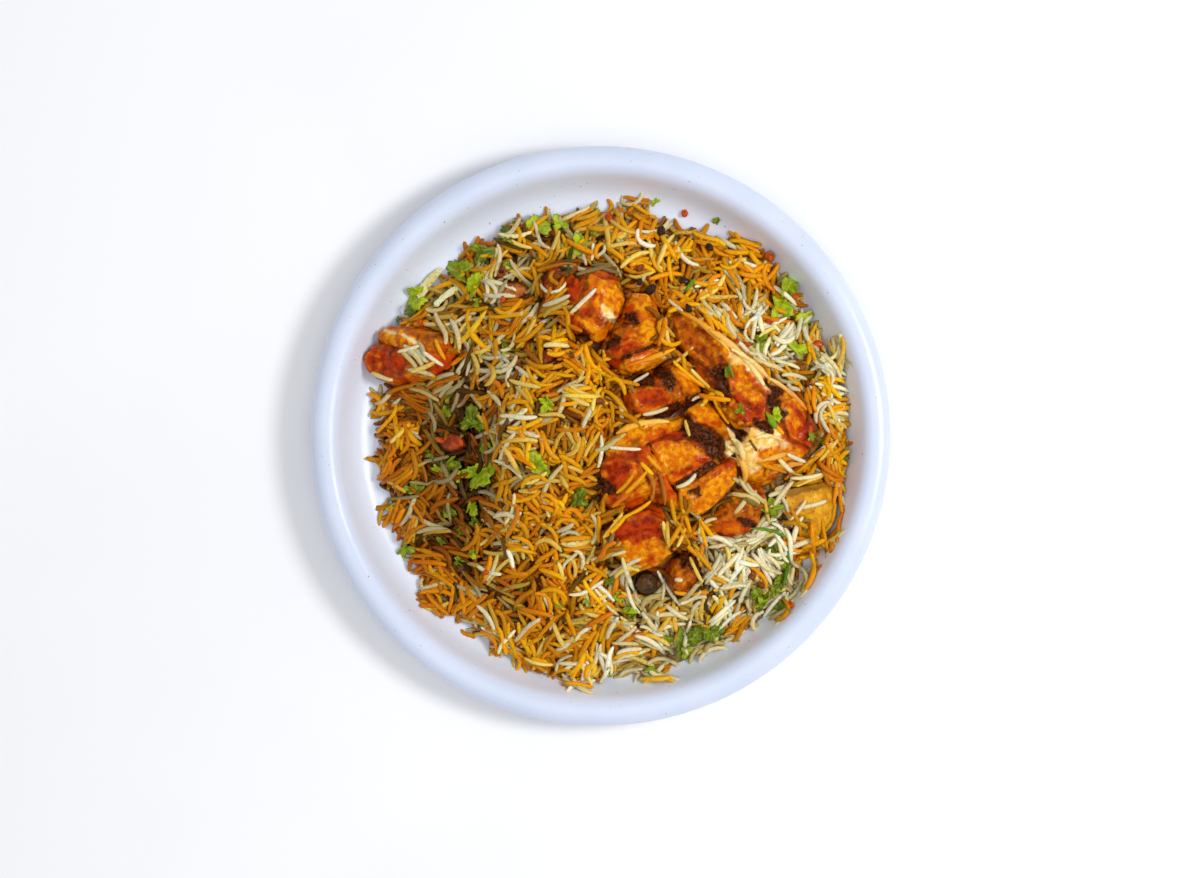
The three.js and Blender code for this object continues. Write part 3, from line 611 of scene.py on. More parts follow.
skin = mix(tree, uneven(tree, 0.8, 0.54, 0.7, 3), skin, speckled)
skin = mix(tree, marked(tree, "char_and_shade"), skin, roast_colours["char_and_shade"])
gloss = mix(tree, uneven(tree, 2.2, 0.3, 0.7), 0.2, 0.5, "FLOAT")
dress(tree, shader, skin, gloss, bump(tree, uneven(tree, 0.9, 0.2, 0.8, 4), 0.2, 0.9))

CHICKEN = [
    # node, and the bearing of its fibres in radians
    ("chicken_knuckle", 0.9), ("chicken_shoulder", 0.4), ("chicken_middle", 0.3), ("chicken_breast", -0.8),
    ("chicken_thigh", 0.45), ("chicken_thigh_end", 0.4), ("chicken_tip", 0.9), ("chicken_flank", -0.2),
    ("drumstick_end", -0.15),
]
chicken_pieces = []
for number, (node, bearing) in enumerate(CHICKEN):
    piece = fine_copy(node, "roast_" + node, chicken_finish)
    roast(piece, number + 1, bearing)
    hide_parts(node)
    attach(piece, "root")
    chicken_pieces.append(piece)

# ------------------------------------------------------------ vegetables and scraps set into the rice
# A slice of potato stained with saffron, a dried plum, and shreds of carrot, tomato and meat. The knife
# left the slice flat on top and along its sides, and a painted shadow line darkens its upper edge.

SET_IN = [
    # node, slot, two colours, roughness, size of its colour patches, height of its lumps
    ("potato_slice", "potato", (230, 170, 24), (198, 128, 8), 0.34, 4, 0.3),
    ("dried_plum", "plum", (92, 56, 22), (48, 26, 12), 0.16, 4, 0.45),
    ("carrot_scrap", "red_vegetable", (190, 74, 16), (142, 42, 10), 0.34, 3, 0.3),
    ("tomato_scrap", "red_vegetable", (150, 40, 10), (104, 22, 8), 0.3, 3, 0.35),
    ("meat_scrap_0", "roast_chicken", (196, 96, 34), (150, 62, 20), 0.4, 3, 0.4),
    ("meat_scrap_1", "roast_chicken", (206, 120, 50), (160, 76, 26), 0.4, 3, 0.4),
]
SET_IN_VOXEL, SET_IN_SMOOTHING = 0.5, 8
SET_IN_LUMP, SET_IN_SEED = 2.4, 30  # size of their lumps
POTATO_SPREAD = 3.6  # how far its sides are pressed out
POTATO_CUT, POTATO_LEAN = 2.4, 0.05  # how deep its top is cut, and how much that slopes
POTATO_OUTLINE = [(786, 490), (837, 480), (839, 519), (817, 547), (788, 538)]  # its straight cuts, in dots
POTATO_SHADOW_LINE = [(790, 492), (814, 486), (836, 484)]  # the dots that the painted shadow line along its upper edge runs over
SHADOW_LINE_WIDTH, MOST_DARKENED = 2.8, 0.8
KEPT_OVER_CUT = 0.1  # a cut keeps this much of the unevenness that lay above it


def plain_finish(name, first, second, roughness, patch):
    """A moist food surface: patches of two colours, slightly uneven gloss and fine relief."""
    material, tree, shader = new_material(
        name, Coat_Weight=0.12, Coat_Roughness=0.12, Subsurface_Weight=0.15, Subsurface_Scale=0.003,
        Subsurface_Radius=(1.0, 0.5, 0.2), Specular_IOR_Level=0.3, Specular_Tint=(1.0, 0.7, 0.4, 1.0),
    )
    tone = mix(tree, uneven(tree, patch, 0.35, 0.65), paint(*first), paint(*second))
    tone = mix(tree, uneven(tree, patch / 4, 0.62, 0.72), tone, paint(*(0.55 * np.array(second))))
    # Darker where marked: on the sides, and along the potato's painted shadow line.
    tone = mix(tree, marked(tree, "edge"), tone, paint(*(0.62 * np.array(second))))
    gloss = mix(tree, uneven(tree, patch / 2), roughness * 0.8, min(roughness * 1.4, 1), "FLOAT")
    dress(tree, shader, tone, gloss, bump(tree, uneven(tree, patch / 5, 0.2, 0.8, 4), 0.2))
    return material


def lumpy(piece, size, height, seed):
    """Makes a piece uneven and marks where it is darker: on its sides, and along the potato's painted shadow
    line.
    """
    mesh = piece.data
    points, normals = mesh_points(mesh) / MM, mesh_points(mesh, "normal")
    side = 1 - np.abs(normals[:, 2])
    lift = height * random_field(points, size, seed) + height / 3 * random_field(points, size / 3, seed)
    set_points(mesh, (points + normals * lift[:, None]) * MM)
    ragged = random_field(points, size, seed + 1)
    # Painted shadow: a dark line along the potato's upper edge.
    stain = SHADOW_LINE_WIDTH / 2 - distance_to_path(points, POTATO_SHADOW_LINE) / 2 + 0.6 * ragged
    edge = np.maximum((side - 0.3) / 0.5 + 0.3 * ragged, stain)
    mark_points(mesh, "edge", np.clip(edge, 0, MOST_DARKENED))


def slice_potato(piece):
    """Presses the slice out sideways, and cuts its top and its sides flat. The top leans towards the rim."""
    points, normals = mesh_points(piece.data) / MM, mesh_points(piece.data, "normal")
    points += normals * POTATO_SPREAD * (1 - np.abs(normals[:, 2]))[:, None]
    cut = points[:, 2].max() - POTATO_CUT - POTATO_LEAN * (points[:, 0] - points[:, 0].mean())
    points[:, 2] = np.minimum(points[:, 2], cut + KEPT_OVER_CUT * (points[:, 2] - cut))
    corners = np.array([on_plan(*dot) for dot in POTATO_OUTLINE])
    for start, end in zip(corners, np.roll(corners, -1, axis=0)):
        outward = np.array([start[1] - end[1], end[0] - start[0]]) / math.dist(start, end)
        beyond = np.clip((points[:, :2] - start) @ outward, 0, None)
        points[:, :2] -= (1 - KEPT_OVER_CUT) * beyond[:, None] * outward
    set_points(piece.data, points * MM)


set_in_pieces = []
for number, (node, slot, first, second, roughness, patch, lumps) in enumerate(SET_IN):
    finish = plain_finish(node + "_finish", first, second, roughness, patch)
    piece = fine_copy(node, "fine_" + node, finish, SET_IN_VOXEL, SET_IN_SMOOTHING)
    if node == "potato_slice":
        slice_potato(piece)
    lumpy(piece, SET_IN_LUMP, lumps, SET_IN_SEED + number)
    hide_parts(node)
    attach(piece, "root")
    set_in_pieces.append(piece)

# ------------------------------------------------------------ laying things on the heap
# A map of heights over the plate keeps what has been laid so far: the plate, the core and the pieces set
# into it, then every grain and leaf as it comes to rest on those below.

CELL, HALF_SPAN = 0.5, 142
CELL_DROP = 0.15  # how much lower a point leaves the cells beside its own

map_size = int(2 * HALF_SPAN / CELL)
map_centres = (np.arange(map_size) + 0.5) * CELL - HALF_SPAN
map_x, map_y = np.meshgrid(map_centres, map_centres, indexing="ij")


def plate_height(distance):
    return np.interp(distance, *np.array(plate_top).T)


heights = plate_height(np.hypot(map_x, map_y))
topping = np.zeros(heights.shape, bool)  # where chicken or a vegetable is the top


def cells(x, y):
    """Row and column of the map under points of the plan."""
    return tuple(
        np.clip(((np.asarray(value) + HALF_SPAN) / CELL).astype(int), 0, map_size - 1) for value in (x, y)
    )


def raise_map(points, is_topping):
    """Raises the map to the points of a surface, with each point filling the cells round it."""
    layer = np.full(heights.shape, -np.inf)
    rows, columns = cells(points[:, 0], points[:, 1])
    for row_step in (-1, 0, 1):
        for column_step in (-1, 0, 1):
            row = np.clip(rows + row_step, 0, map_size - 1)
            column = np.clip(columns + column_step, 0, map_size - 1)
            slope = CELL_DROP * (abs(row_step) + abs(column_step))
            np.maximum.at(layer, (row, column), points[:, 2] - slope)
    higher = layer > heights
    heights[higher] = layer[higher]
    if is_topping:
        topping[higher] = True


def spread_out(values, reach):
    """The mean of a map's values over a square that reaches so far each way, in millimetres."""
    steps = int(reach / CELL)
    for axis in (0, 1):
        edge = [(0, 0), (0, 0)]
        edge[axis] = (steps + 1, steps)
        total = np.cumsum(np.pad(values, edge, mode="edge"), axis=axis)
        ahead = np.take(total, range(2 * steps + 1, total.shape[axis]), axis=axis)
        behind = np.take(total, range(0, total.shape[axis] - 2 * steps - 1), axis=axis)
        values = (ahead - behind) / (2 * steps + 1)
    return values


# Parts of the pieces that a layer or two of rice covers: middle and reach in dots of the view.
BURIED = [
    ((756, 342), (17, 12)), ((788, 370), (13, 13)), ((810, 392), (9, 10)), ((828, 440), (8, 22)),
    ((681, 528), (13, 22)), ((424, 364), (13, 16)), ((752, 496), (12, 12)), ((788, 468), (22, 5)),
    ((784, 526), (14, 22)), ((806, 548), (20, 10)), ((598, 512), (10, 12)), ((560, 330), (10, 12)),
    ((664, 318), (8, 22)), ((608, 436), (10, 9)), ((712, 396), (10, 5)), ((606, 556), (9, 12)),
    ((700, 590), (9, 16)), ((585, 263), (34, 9)), ((549, 300), (9, 24)), ((566, 270), (9, 8)),
]

# Parts that stay clear of scattered grains, given in the same way.
CLEAR = [
    ((812, 498), (28, 14)), ((827, 520), (12, 18)), ((706, 488), (22, 17)), ((684, 456), (18, 14)),
    ((770, 412), (24, 16)), ((802, 444), (22, 14)), ((645, 579), (17, 10)), ((685, 570), (14, 18)),
]


def in_spots(spots):
    """Where the map lies in any of the oval spots."""
    found = np.zeros(heights.shape, bool)
    for dot, (reach_x, reach_y) in spots:
        place = on_plan(*dot)
        along, across = (map_x - place[0]) / reach_x, (map_y - place[1]) / reach_y
        found |= np.hypot(along, across) < MM_PER_DOT
    return found


for piece in chicken_pieces + set_in_pieces:
    raise_map(mesh_points(piece.data) / MM, is_topping=True)
bare_top = heights.copy()
buried = in_spots(BURIED)
clear = in_spots(CLEAR)
topping &= ~buried
crowding = spread_out(spread_out(topping.astype(float), 4), 3)  # how near the pieces are, 0 to 1

# ------------------------------------------------------------ the core of the heap
# The rice under the top layers, packed too close to tell apart: an oily, lumpy mass that shows only as
# shadow between the grains, and as gravy between the pieces of chicken. The real grains are laid over it.

HEAP_CENTRE, HEAP_RADIUS, EDGE_THICKNESS = (5.5, -3), 116.5, 3
MOUND_RISE, CREST_PLACE, CREST_RISE, CREST_WIDTH = 30, (-22, 4), 19, 42
OUTLINE_LOBES = [(1.8, 3, 0.6), (1.4, 7, 2), (0.9, 11, 4)]
HOLLOW_PLACE, HOLLOW_REACH, HOLLOW_DEPTH = (-66, -24), (16, 48), 8  # left of the crest, where leaves lie
LOOSE_DEPTH = 5.4  # of the grains that are laid one by one over the core
GRAVY_RISE = 6  # how much higher it reaches between the pieces of chicken
CORE_RINGS, CORE_SECTORS = 70, 240
CORE_INSET, CORE_GAP = 4, 0.4  # how far it stays behind the heap's edge, and over the plate
CORE_EDGE = 0.25  # its thickness at its own edge
CORE_LUMPS = [(3.1, 0.8, 11), (1.4, 0.5, 12)]  # size, height and seed
CORE_DEPTH = 0.9  # how low over the plate its top may get
CORE_SHADE = 0.6  # how dark it is painted beside the grains over it, painted shade between them
GRAVY = (120, 54, 6)  # the colour of the juices between the pieces
HOLLOW_CORE_SHADE = 0.9  # how much darker the core is painted in the hollow, painted shade

KINDS = {
    # kind: the colour of the grain and of its stained parts
    "white": ((248, 240, 212), (238, 216, 140)),
    "cream": ((248, 218, 116), (240, 184, 40)),
    "yellow": ((252, 190, 12), (242, 160, 5)),
    "orange": ((244, 164, 6), (230, 134, 2)),
    "brown": ((112, 84, 18), (66, 44, 10)),
}

# Where each mixture of grains lies: middle and reach in dots of the view, and shares in the kinds' order.
ZONES = [
    ((485, 262), (62, 55), (0.38, 0.24, 0.26, 0.08, 0.04)),
    ((472, 345), (34, 50), (0.60, 0.20, 0.14, 0.03, 0.03)),
    ((556, 334), (34, 36), (0.12, 0.16, 0.56, 0.16, 0.00)),
    ((605, 225), (50, 32), (0.24, 0.20, 0.42, 0.14, 0.00)),
    ((690, 255), (70, 52), (0.07, 0.12, 0.48, 0.33, 0.00)),
    ((780, 335), (44, 40), (0.44, 0.12, 0.26, 0.18, 0.00)),
    ((745, 322), (20, 24), (0.80, 0.16, 0.12, 0.04, 0.00)),
    ((838, 380), (18, 46), (0.84, 0.14, 0.02, 0.00, 0.00)),
    ((555, 440), (60, 75), (0.06, 0.14, 0.63, 0.17, 0.00)),
    ((400, 455), (36, 62), (0.04, 0.10, 0.44, 0.38, 0.04)),
    ((430, 570), (62, 62), (0.06, 0.10, 0.42, 0.38, 0.04)),
    ((545, 630), (62, 50), (0.08, 0.13, 0.43, 0.34, 0.02)),
    ((715, 612), (84, 48), (0.70, 0.17, 0.11, 0.02, 0.00)),
    ((690, 540), (26, 34), (0.06, 0.18, 0.56, 0.20, 0.00)),
    # Under the chicken's tip, browned grains partly stand in for its shadow, painted shade.
    ((655, 596), (30, 10), (0.20, 0.30, 0.50, 0.20, 0.20)),
    ((752, 566), (40, 46), (0.96, 0.10, 0.02, 0.00, 0.00)),
    ((814, 560), (18, 36), (0.06, 0.10, 0.40, 0.44, 0.00)),
    ((766, 636), (20, 16), (0.15, 0.10, 0.35, 0.40, 0.00)),
    ((620, 668), (40, 16), (0.60, 0.20, 0.20, 0.00, 0.00)),
    ((828, 470), (30, 60), (0.16, 0.12, 0.46, 0.26, 0.00)),
    ((507, 424), (24, 74), (0.60, 0.24, 0.16, 0.00, 0.00)),
    ((444, 385), (32, 30), (0.70, 0.14, 0.12, 0.04, 0.00)),
    # In the hollow, browned grains partly stand in for its shade, painted shade.
    ((466, 490), (24, 70), (0.44, 0.30, 0.40, 0.10, 0.30)),
]
PATCHES = [(12, 1.7, 31), (16, 1.4, 32)]  # of more white and more orange grains: size, strength, seed


def mixture(x, y):
    """The shares of the kinds of grain round points of the plan."""
    total = np.full((len(x), len(KINDS)), 1e-6)
    for dot, (reach_x, reach_y), shares in ZONES:
        place = on_plan(*dot)
        along, across = (x - place[0]) / (reach_x * MM_PER_DOT), (y - place[1]) / (reach_y * MM_PER_DOT)
        total += np.exp(-(along**2 + across**2))[:, None] * np.array(shares)
    place = np.column_stack([x, y, np.zeros(len(x))])
    patches = [strength * random_field(place, size, seed) for size, strength, seed in PATCHES]
    whiter, redder = (np.exp(strengths) for strengths in patches)
    total *= np.column_stack([whiter, whiter**0.6, np.ones(len(x)), redder, redder])
    return total / total.sum(axis=1)[:, None]


def heap_reach(bearing):
    """How far the heap reaches from its centre, with its uneven outline."""
    lobes = [depth * np.sin(number * bearing + phase) for depth, number, phase in OUTLINE_LOBES]
    return HEAP_RADIUS + sum(lobes)


def in_hollow(x, y):
    """How deep in the hollow a point of the plan is, 0 to 1."""
    away = ((x - HOLLOW_PLACE[0]) / HOLLOW_REACH[0]) ** 2 + ((y - HOLLOW_PLACE[1]) / HOLLOW_REACH[1]) ** 2
    return np.exp(-away)


def heap_height(x, y):
    """The smooth top of the rice over the plan."""
    along, across = x - HEAP_CENTRE[0], y - HEAP_CENTRE[1]
    share = np.minimum(1, np.hypot(along, across) / heap_reach(np.arctan2(across, along)))
    from_crest = np.hypot(x - CREST_PLACE[0], y - CREST_PLACE[1]) / CREST_WIDTH
    mound = MOUND_RISE * (1 - share**2.4) ** 0.85
    crest = CREST_RISE * np.exp(-(from_crest**2)) * (1 - share**4)
    lowest = plate_height(np.hypot(x, y)) + 0.35 + EDGE_THICKNESS
    return np.maximum(FLOOR_TOP + EDGE_THICKNESS + mound + crest - HOLLOW_DEPTH * in_hollow(x, y), lowest)


def core_height(x, y):
    """The core's top: lumpy, higher between the pieces, and down to the plate at the heap's edge."""
    place = np.column_stack([x, y, np.zeros(len(x))])
    lumps = sum(height * random_field(place, size, seed) for size, height, seed in CORE_LUMPS)
    top = heap_height(x, y) - LOOSE_DEPTH + lumps + GRAVY_RISE * crowding[cells(x, y)]
    return np.maximum(top, plate_height(np.hypot(x, y)) + CORE_DEPTH)


def closed_lens(name, sectors, rings, top, under, middle_top, middle_under):
    """A closed sheet of round rings from its edge inwards. The top and under sides share the edge."""
    shift = len(top)
    faces = []
    for i in range(sectors):
        a, b = i * rings, (i + 1) % sectors * rings
        for ring in range(rings - 1):
            faces.append((a + ring, b + ring, b + ring + 1, a + ring + 1))
            low = (a + ring, a + ring + 1, b + ring + 1, b + ring)
            faces.append(tuple(corner + (shift if corner % rings else 0) for corner in low))
        faces.append((a + rings - 1, b + rings - 1, 2 * shift))
        faces.append((shift + b + rings - 1, shift + a + rings - 1, 2 * shift + 1))
    points = np.vstack([top, under, [middle_top, middle_under]]) * MM
    mesh = bpy.data.meshes.new(name)
    mesh.from_pydata([tuple(point) for point in points], [], faces)
    work = bmesh.new()
    work.from_mesh(mesh)
    bmesh.ops.delete(work, geom=[v for v in work.verts if not v.link_faces], context="VERTS")
    work.to_mesh(mesh)
    work.free()
    mesh.shade_smooth()
    return mesh


core_bearing = np.repeat(np.linspace(0, 2 * np.pi, CORE_SECTORS, endpoint=False), CORE_RINGS)
core_share = np.tile(np.linspace(1, 0.012, CORE_RINGS), CORE_SECTORS)
core_reach = (heap_reach(core_bearing) - CORE_INSET) * core_share
core_x = HEAP_CENTRE[0] + core_reach * np.cos(core_bearing)
core_y = HEAP_CENTRE[1] + core_reach * np.sin(core_bearing)
core_floor = plate_height(np.hypot(core_x, core_y)) + CORE_GAP
core_top = core_height(core_x, core_y)
core_top[core_share == 1] = core_floor[core_share == 1] + CORE_EDGE
core_mesh = closed_lens(
    "rice_core", CORE_SECTORS, CORE_RINGS, np.column_stack([core_x, core_y, core_top]),
    np.column_stack([core_x, core_y, core_floor]), (*HEAP_CENTRE, core_top[CORE_RINGS - 1]),
    (*HEAP_CENTRE, core_floor[CORE_RINGS - 1]),
)
place = mesh_points(core_mesh) / MM
stained = np.array([paint(*second)[:3] for first, second in KINDS.values()])
# Painted shade: the core takes the darker stained colours of the grains round it, darkened further.
tint = CORE_SHADE * mixture(place[:, 0], place[:, 1]) @ stained
gravy = np.clip(1.2 * crowding[cells(place[:, 0], place[:, 1])], 0, 1)[:, None]
tint = tint * (1 - gravy) + np.array(paint(*GRAVY)[:3]) * gravy
# Painted shade of the hollow.
tint *= 1 - HOLLOW_CORE_SHADE * in_hollow(place[:, 0], place[:, 1])[:, None]
mark_points(core_mesh, "tint", np.column_stack([tint, np.ones(len(tint))]))

core_finish, tree, shader = new_material(
    "packed_rice", Coat_Weight=0.15, Coat_Roughness=0.2, Specular_IOR_Level=0.25,
)
tint = marked(tree, "tint", "Color")
shaded = mix(tree, 1.0, tint, (0.42, 0.34, 0.26, 1), blend="MULTIPLY")
tone = mix(tree, uneven(tree, 2.6, 0.4, 0.62, 4), tint, shaded)
gloss = mix(tree, uneven(tree, 3), 0.36, 0.6, "FLOAT")
dress(tree, shader, tone, gloss, bump(tree, uneven(tree, 1.6, 0.2, 0.8, 4), 0.8))
core = link_object("rice_core", core_mesh, core_finish)
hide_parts("rice_heap")
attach(core, "root")

from_middle = np.hypot(map_x - HEAP_CENTRE[0], map_y - HEAP_CENTRE[1])
map_bearing = np.arctan2(map_y - HEAP_CENTRE[1], map_x - HEAP_CENTRE[0])
inside = from_middle < heap_reach(map_bearing) - CORE_INSET
heights[inside] = np.maximum(heights[inside], core_height(map_x[inside], map_y[inside]))

# ------------------------------------------------------------ the lower grains of rice
# Long-grain rice, part-boiled and steamed in layers with saffron, turmeric and the chicken's juices: white,
# cream, yellow, orange and a few browned grains, thin and mostly straight, some bent right round.

GRAIN_LENGTH, BROKEN_LENGTH, BROKEN_SHARE = (12, 18), (7, 11), 0.1
GRAIN_GIRTH, GRAIN_FLATNESS = (0.94, 1.3), 0.88  # half thickness, and how much flatter it lies
SWOLLEN = {"yellow": 1.05, "orange": 1.04}  # kinds that soaked up juices are thicker
GRAIN_STEPS, GRAIN_SIDES = 9, 6
GRAIN_LIMIT = 127  # no part of a grain lies further out than this
CLUMP_SIZE, CLUMP_SPREAD = 11, 0.36  # grains of a clump lie about the same way
GRAIN_TURN, BENT_TURN, BENT_SHARE = 58, (70, 160), 0.14  # degrees that a grain turns from tip to tip
GRAIN_WAVE = 0.7  # how far a grain strays to both sides of its bend
TOUCHING, PRESSED = 0.6, 0.88  # share of a grain that touches, and how far it presses into what is below
STEEPEST, EDGE_STEEPEST, EDGE_FROM = 0.9, 0.45, 104  # how steeply a grain may lie, and that by the plate
DARKEST, EDGE_DARKEST, BRIGHTEST = 0.16, 0.5, 1.04  # limits of a grain's shade
ROUGHNESS = [(24, 2.0, 21), (11, 2.5, 22), (5, 1.3, 23)]  # of the heap's top: size, height and seed
PITS, SMALL_PITS = 7, 0.9  # depth of the gaps in the hollow, and share of that over the rest of the heap
# Where the top bulges and its grains are painted lighter, or sinks and they are painted darker, painted
# light and
# shade: middle and reach in dots of the view, and rise.
BULGES = [
    ((506, 545), (16, 34), 2.0), ((562, 552), (30, 24), 1.6), ((522, 440), (20, 30), 1.2),
    ((515, 376), (18, 16), 2.2), ((590, 400), (22, 14), 1.0), ((603, 607), (22, 16), 1.8),
    ((506, 480), (12, 20), 1.8), ((726, 578), (24, 22), 2.6), ((672, 642), (22, 14), 2.4),
    ((780, 597), (14, 12), 1.8), ((832, 372), (12, 24), 2.2), ((746, 320), (24, 16), 2.6),
    ((556, 235), (28, 16), 1.8), ((838, 425), (10, 34), 2.4), ((428, 570), (20, 14), 1.4),
    ((440, 605), (30, 14), 1.2), ((557, 292), (20, 14), -2.6), ((510, 318), (20, 12), -1.4),
    ((448, 308), (28, 16), -2.2), ((557, 628), (22, 12), -1.8), ((500, 606), (16, 12), -2.0),
    ((417, 480), (16, 20), -1.8), ((600, 482), (10, 20), -2.0), ((478, 590), (16, 12), -1.2),
    ((662, 604), (22, 10), -3.0), ((800, 440), (20, 10), -1.6), ((652, 310), (10, 16), -1.6),
    ((430, 440), (22, 42), -3.4), ((466, 374), (24, 16), -2.4), ((430, 354), (20, 16), -1.8),
    ((482, 300), (22, 14), -1.8), ((762, 292), (18, 12), -1.8), ((784, 328), (14, 10), -1.4),
    ((796, 354), (12, 12), -1.4), ((540, 616), (16, 12), -1.4), ((538, 652), (20, 12), -1.2),
    ((411, 394), (14, 14), -1.6), ((826, 463), (16, 12), -2.4), ((560, 455), (24, 30), -0.8),
    ((545, 340), (24, 20), -1.0), ((706, 289), (16, 12), 1.8), ((792, 546), (18, 18), 2.2),
    ((592, 672), (24, 10), 2.0), ((606, 632), (16, 12), 1.8), ((746, 505), (14, 10), -2.0),
    ((642, 262), (20, 12), 1.2), ((420, 549), (16, 14), 1.4), ((774, 602), (16, 14), 1.2),
    ((489, 299), (16, 12), -1.6), ((447, 300), (16, 14), -1.4), ((708, 547), (16, 14), -2.4),
    ((441, 360), (16, 14), -1.2), ((502, 609), (14, 10), -1.6), ((531, 483), (14, 12), -1.4),
    ((507, 408), (10, 10), -1.0), ((673, 220), (16, 10), -1.6), ((750, 262), (20, 12), 1.8),
    ((559, 329), (18, 14), 1.8), ((599, 519), (12, 12), 1.6), ((533, 295), (12, 10), 1.4),
    ((677, 660), (16, 10), -1.8), ((435, 319), (16, 12), -2.0), ((438, 360), (16, 14), -1.4),
    ((769, 344), (14, 12), 1.8), ((799, 528), (14, 12), 1.6), ((566, 638), (16, 12), -1.8),
    ((690, 655), (14, 10), -1.4), ((812, 401), (12, 12), 1.6), ((610, 496), (12, 10), -1.2),
    ((543, 630), (12, 10), -1.0), ((700, 255), (60, 40), 0.9), ((705, 550), (14, 12), -1.4),
    ((650, 598), (22, 8), -1.6), ((415, 470), (14, 30), -1.4), ((515, 405), (10, 10), -1.2),
    ((420, 496), (14, 14), -1.0), ((610, 228), (18, 12), 1.6), ((503, 534), (14, 14), 1.0),
    ((502, 645), (14, 10), 1.4), ((580, 668), (22, 10), 1.6), ((784, 486), (10, 8), -2.0),
    ((643, 559), (12, 8), -1.4), ((672, 320), (8, 10), -1.6), ((558, 296), (12, 8), -1.0),
]
BULGE_PAINTED_LIGHT, PLAIN_LIGHTER = 0.05, 0.45  # painted light for each millimetre of bulge, and how much less painted shade plain rice takes
COVER = 2.2  # depth of the rice over the buried parts
BANK = 7.5  # how high the rice is banked up round the chicken
RICE_SEED = 7
LOWER_TRIALS, UPPER_TRIALS, PLACES_TRIED = 8000, 9000, 6
STAIN, STAIN_SPREAD, STAIN_SLOPE = 0.35, 0.3, 0.35  # share of a kind's second colour, and how it varies
SHADE_SPREAD = 0.08  # how much single grains differ in brightness
PALE_SHADE_TINT, SHADE_TINT = (0.8, 0.89, 1.25), (0.82, 1.14, 1.5)  # how painted shade tells on red, green and blue
OVERLAP, WIDE_OVERLAP, WIDE_SHARE = 0.5, 0.85, 0.2  # how much of a grain may lie on a leaf or the chicken
DAMP_SIZE, DAMP_DARKER = 8, 0.42  # patches that soaked up more of the juices
DEEPER_DARKER, DEPTH_FROM = 0.12, 2.6  # painted shade for each millimetre of depth, counted from this far over the top
HOLLOW_DARKER = 0.9  # painted shade in the hollow left of the crest
HIDDEN_FROM, HIDDEN_DARKER = 0.8, 0.15  # from this deep under the grains on top, they are painted darker still, painted shade
LOWER_LAYER, UPPER_LAYER = -1.2, 0.4  # height of the two layings' middle lines over the smooth top

# Where tufts of grains stick out of the heap's edge on to the plate, in dots of the view.
EDGE_TUFTS = [
    (384, 513), (382, 462), (380, 402), (410, 546), (424, 584), (434, 606), (470, 634), (505, 656),
    (548, 678), (577, 682), (590, 675), (566, 674), (397, 526), (640, 203), (612, 206), (745, 244),
    (842, 386), (843, 402), (838, 352), (842, 436), (838, 520), (830, 540), (820, 562), (808, 580),
    (786, 608), (796, 590), (660, 676), (470, 252),
]
TUFT_REACH = 3

random = np.random.default_rng(RICE_SEED)
level = np.array([-1, -0.92, -0.73, -0.4, 0, 0.4, 0.73, 0.92, 1])  # the steps from tip to tip
TAPER = np.array([0.36, 0.7, 0.92, 1.04, 1.06, 1.02, 0.9, 0.68, 0.32])
bending = np.column_stack([np.ones(GRAIN_STEPS), level, level**2])
GRAIN_FIT = bending @ np.linalg.pinv(bending)  # the gentlest curve through a grain's heights
grains = {kind: [] for kind in KINDS}  # each is (points, half thicknesses, colours)
# The cells that a grain may cover beside the one under its middle line.
disc = np.stack(np.meshgrid(np.arange(-3, 4), np.arange(-3, 4)), -1).reshape(-1, 2) * CELL
disc_reach = np.hypot(*disc.T)

map_place = np.column_stack([map_x.ravel(), map_y.ravel(), np.zeros(map_x.size)])
even_top = heap_height(map_x, map_y) + BANK * crowding * ~topping
even_top[buried] = np.maximum(even_top, bare_top + COVER)[buried]
smooth_top = even_top.copy()
for size, height, seed in ROUGHNESS:
    smooth_top += height * random_field(map_place, size, seed).reshape(map_x.shape)
hollow_share = in_hollow(map_x, map_y)
bulge = np.zeros(heights.shape)
for dot, (reach_x, reach_y), rise in BULGES:
    place = on_plan(*dot)
    along, across = (map_x - place[0]) / reach_x, (map_y - place[1]) / reach_y
    bulge += rise * np.exp(-np.hypot(along, across) ** 2 / MM_PER_DOT**2)
smooth_top += bulge
gaps = random_field(map_place, 6, 25).reshape(map_x.shape)
smooth_top -= PITS * (hollow_share * np.clip(gaps, 0, 1) + SMALL_PITS * np.clip(gaps - 0.3, 0, 1))
near_tuft = np.zeros(inside.shape, bool)
for dot in EDGE_TUFTS:
    place = on_plan(*dot)
    near_tuft |= np.hypot(map_x - place[0], map_y - place[1]) < TUFT_REACH
spots = np.flatnonzero((inside | near_tuft | buried) & ~topping)
shares = np.cumsum(mixture(map_x.ravel(), map_y.ravel()), axis=1)
damp = random_field(map_place, DAMP_SIZE, 26)
clump_yaw = 1.6 * math.pi * random_field(map_place, CLUMP_SIZE, 24)


def grain_path(x, y, yaw, length, turn, wave=0):
    """A grain's middle line on the plan: an arc that turns by `turn` radians from tip to tip."""
    bend = (turn if abs(turn) > 1e-3 else 1e-3) / length
    along = bend * level * length / 2
    forward, sideways = np.sin(along) / bend, (1 - np.cos(along)) / bend + wave * np.sin(np.pi * level)
    return (
        x + math.cos(yaw) * forward - math.sin(yaw) * sideways,
        y + math.sin(yaw) * forward + math.cos(yaw) * sideways,
    )


def settle(x, y, girth):
    """The heights of a soft grain's middle line at rest on what is below, and how steeply it lies."""
    under = heights[cells(x, y)]
    curve = GRAIN_FIT @ under
    stand = np.quantile(under - curve, TOUCHING)
    slope = abs(curve[-1] - curve[0]) / math.hypot(x[-1] - x[0], y[-1] - y[0])
    return curve + stand + girth * (1 - PRESSED), slope


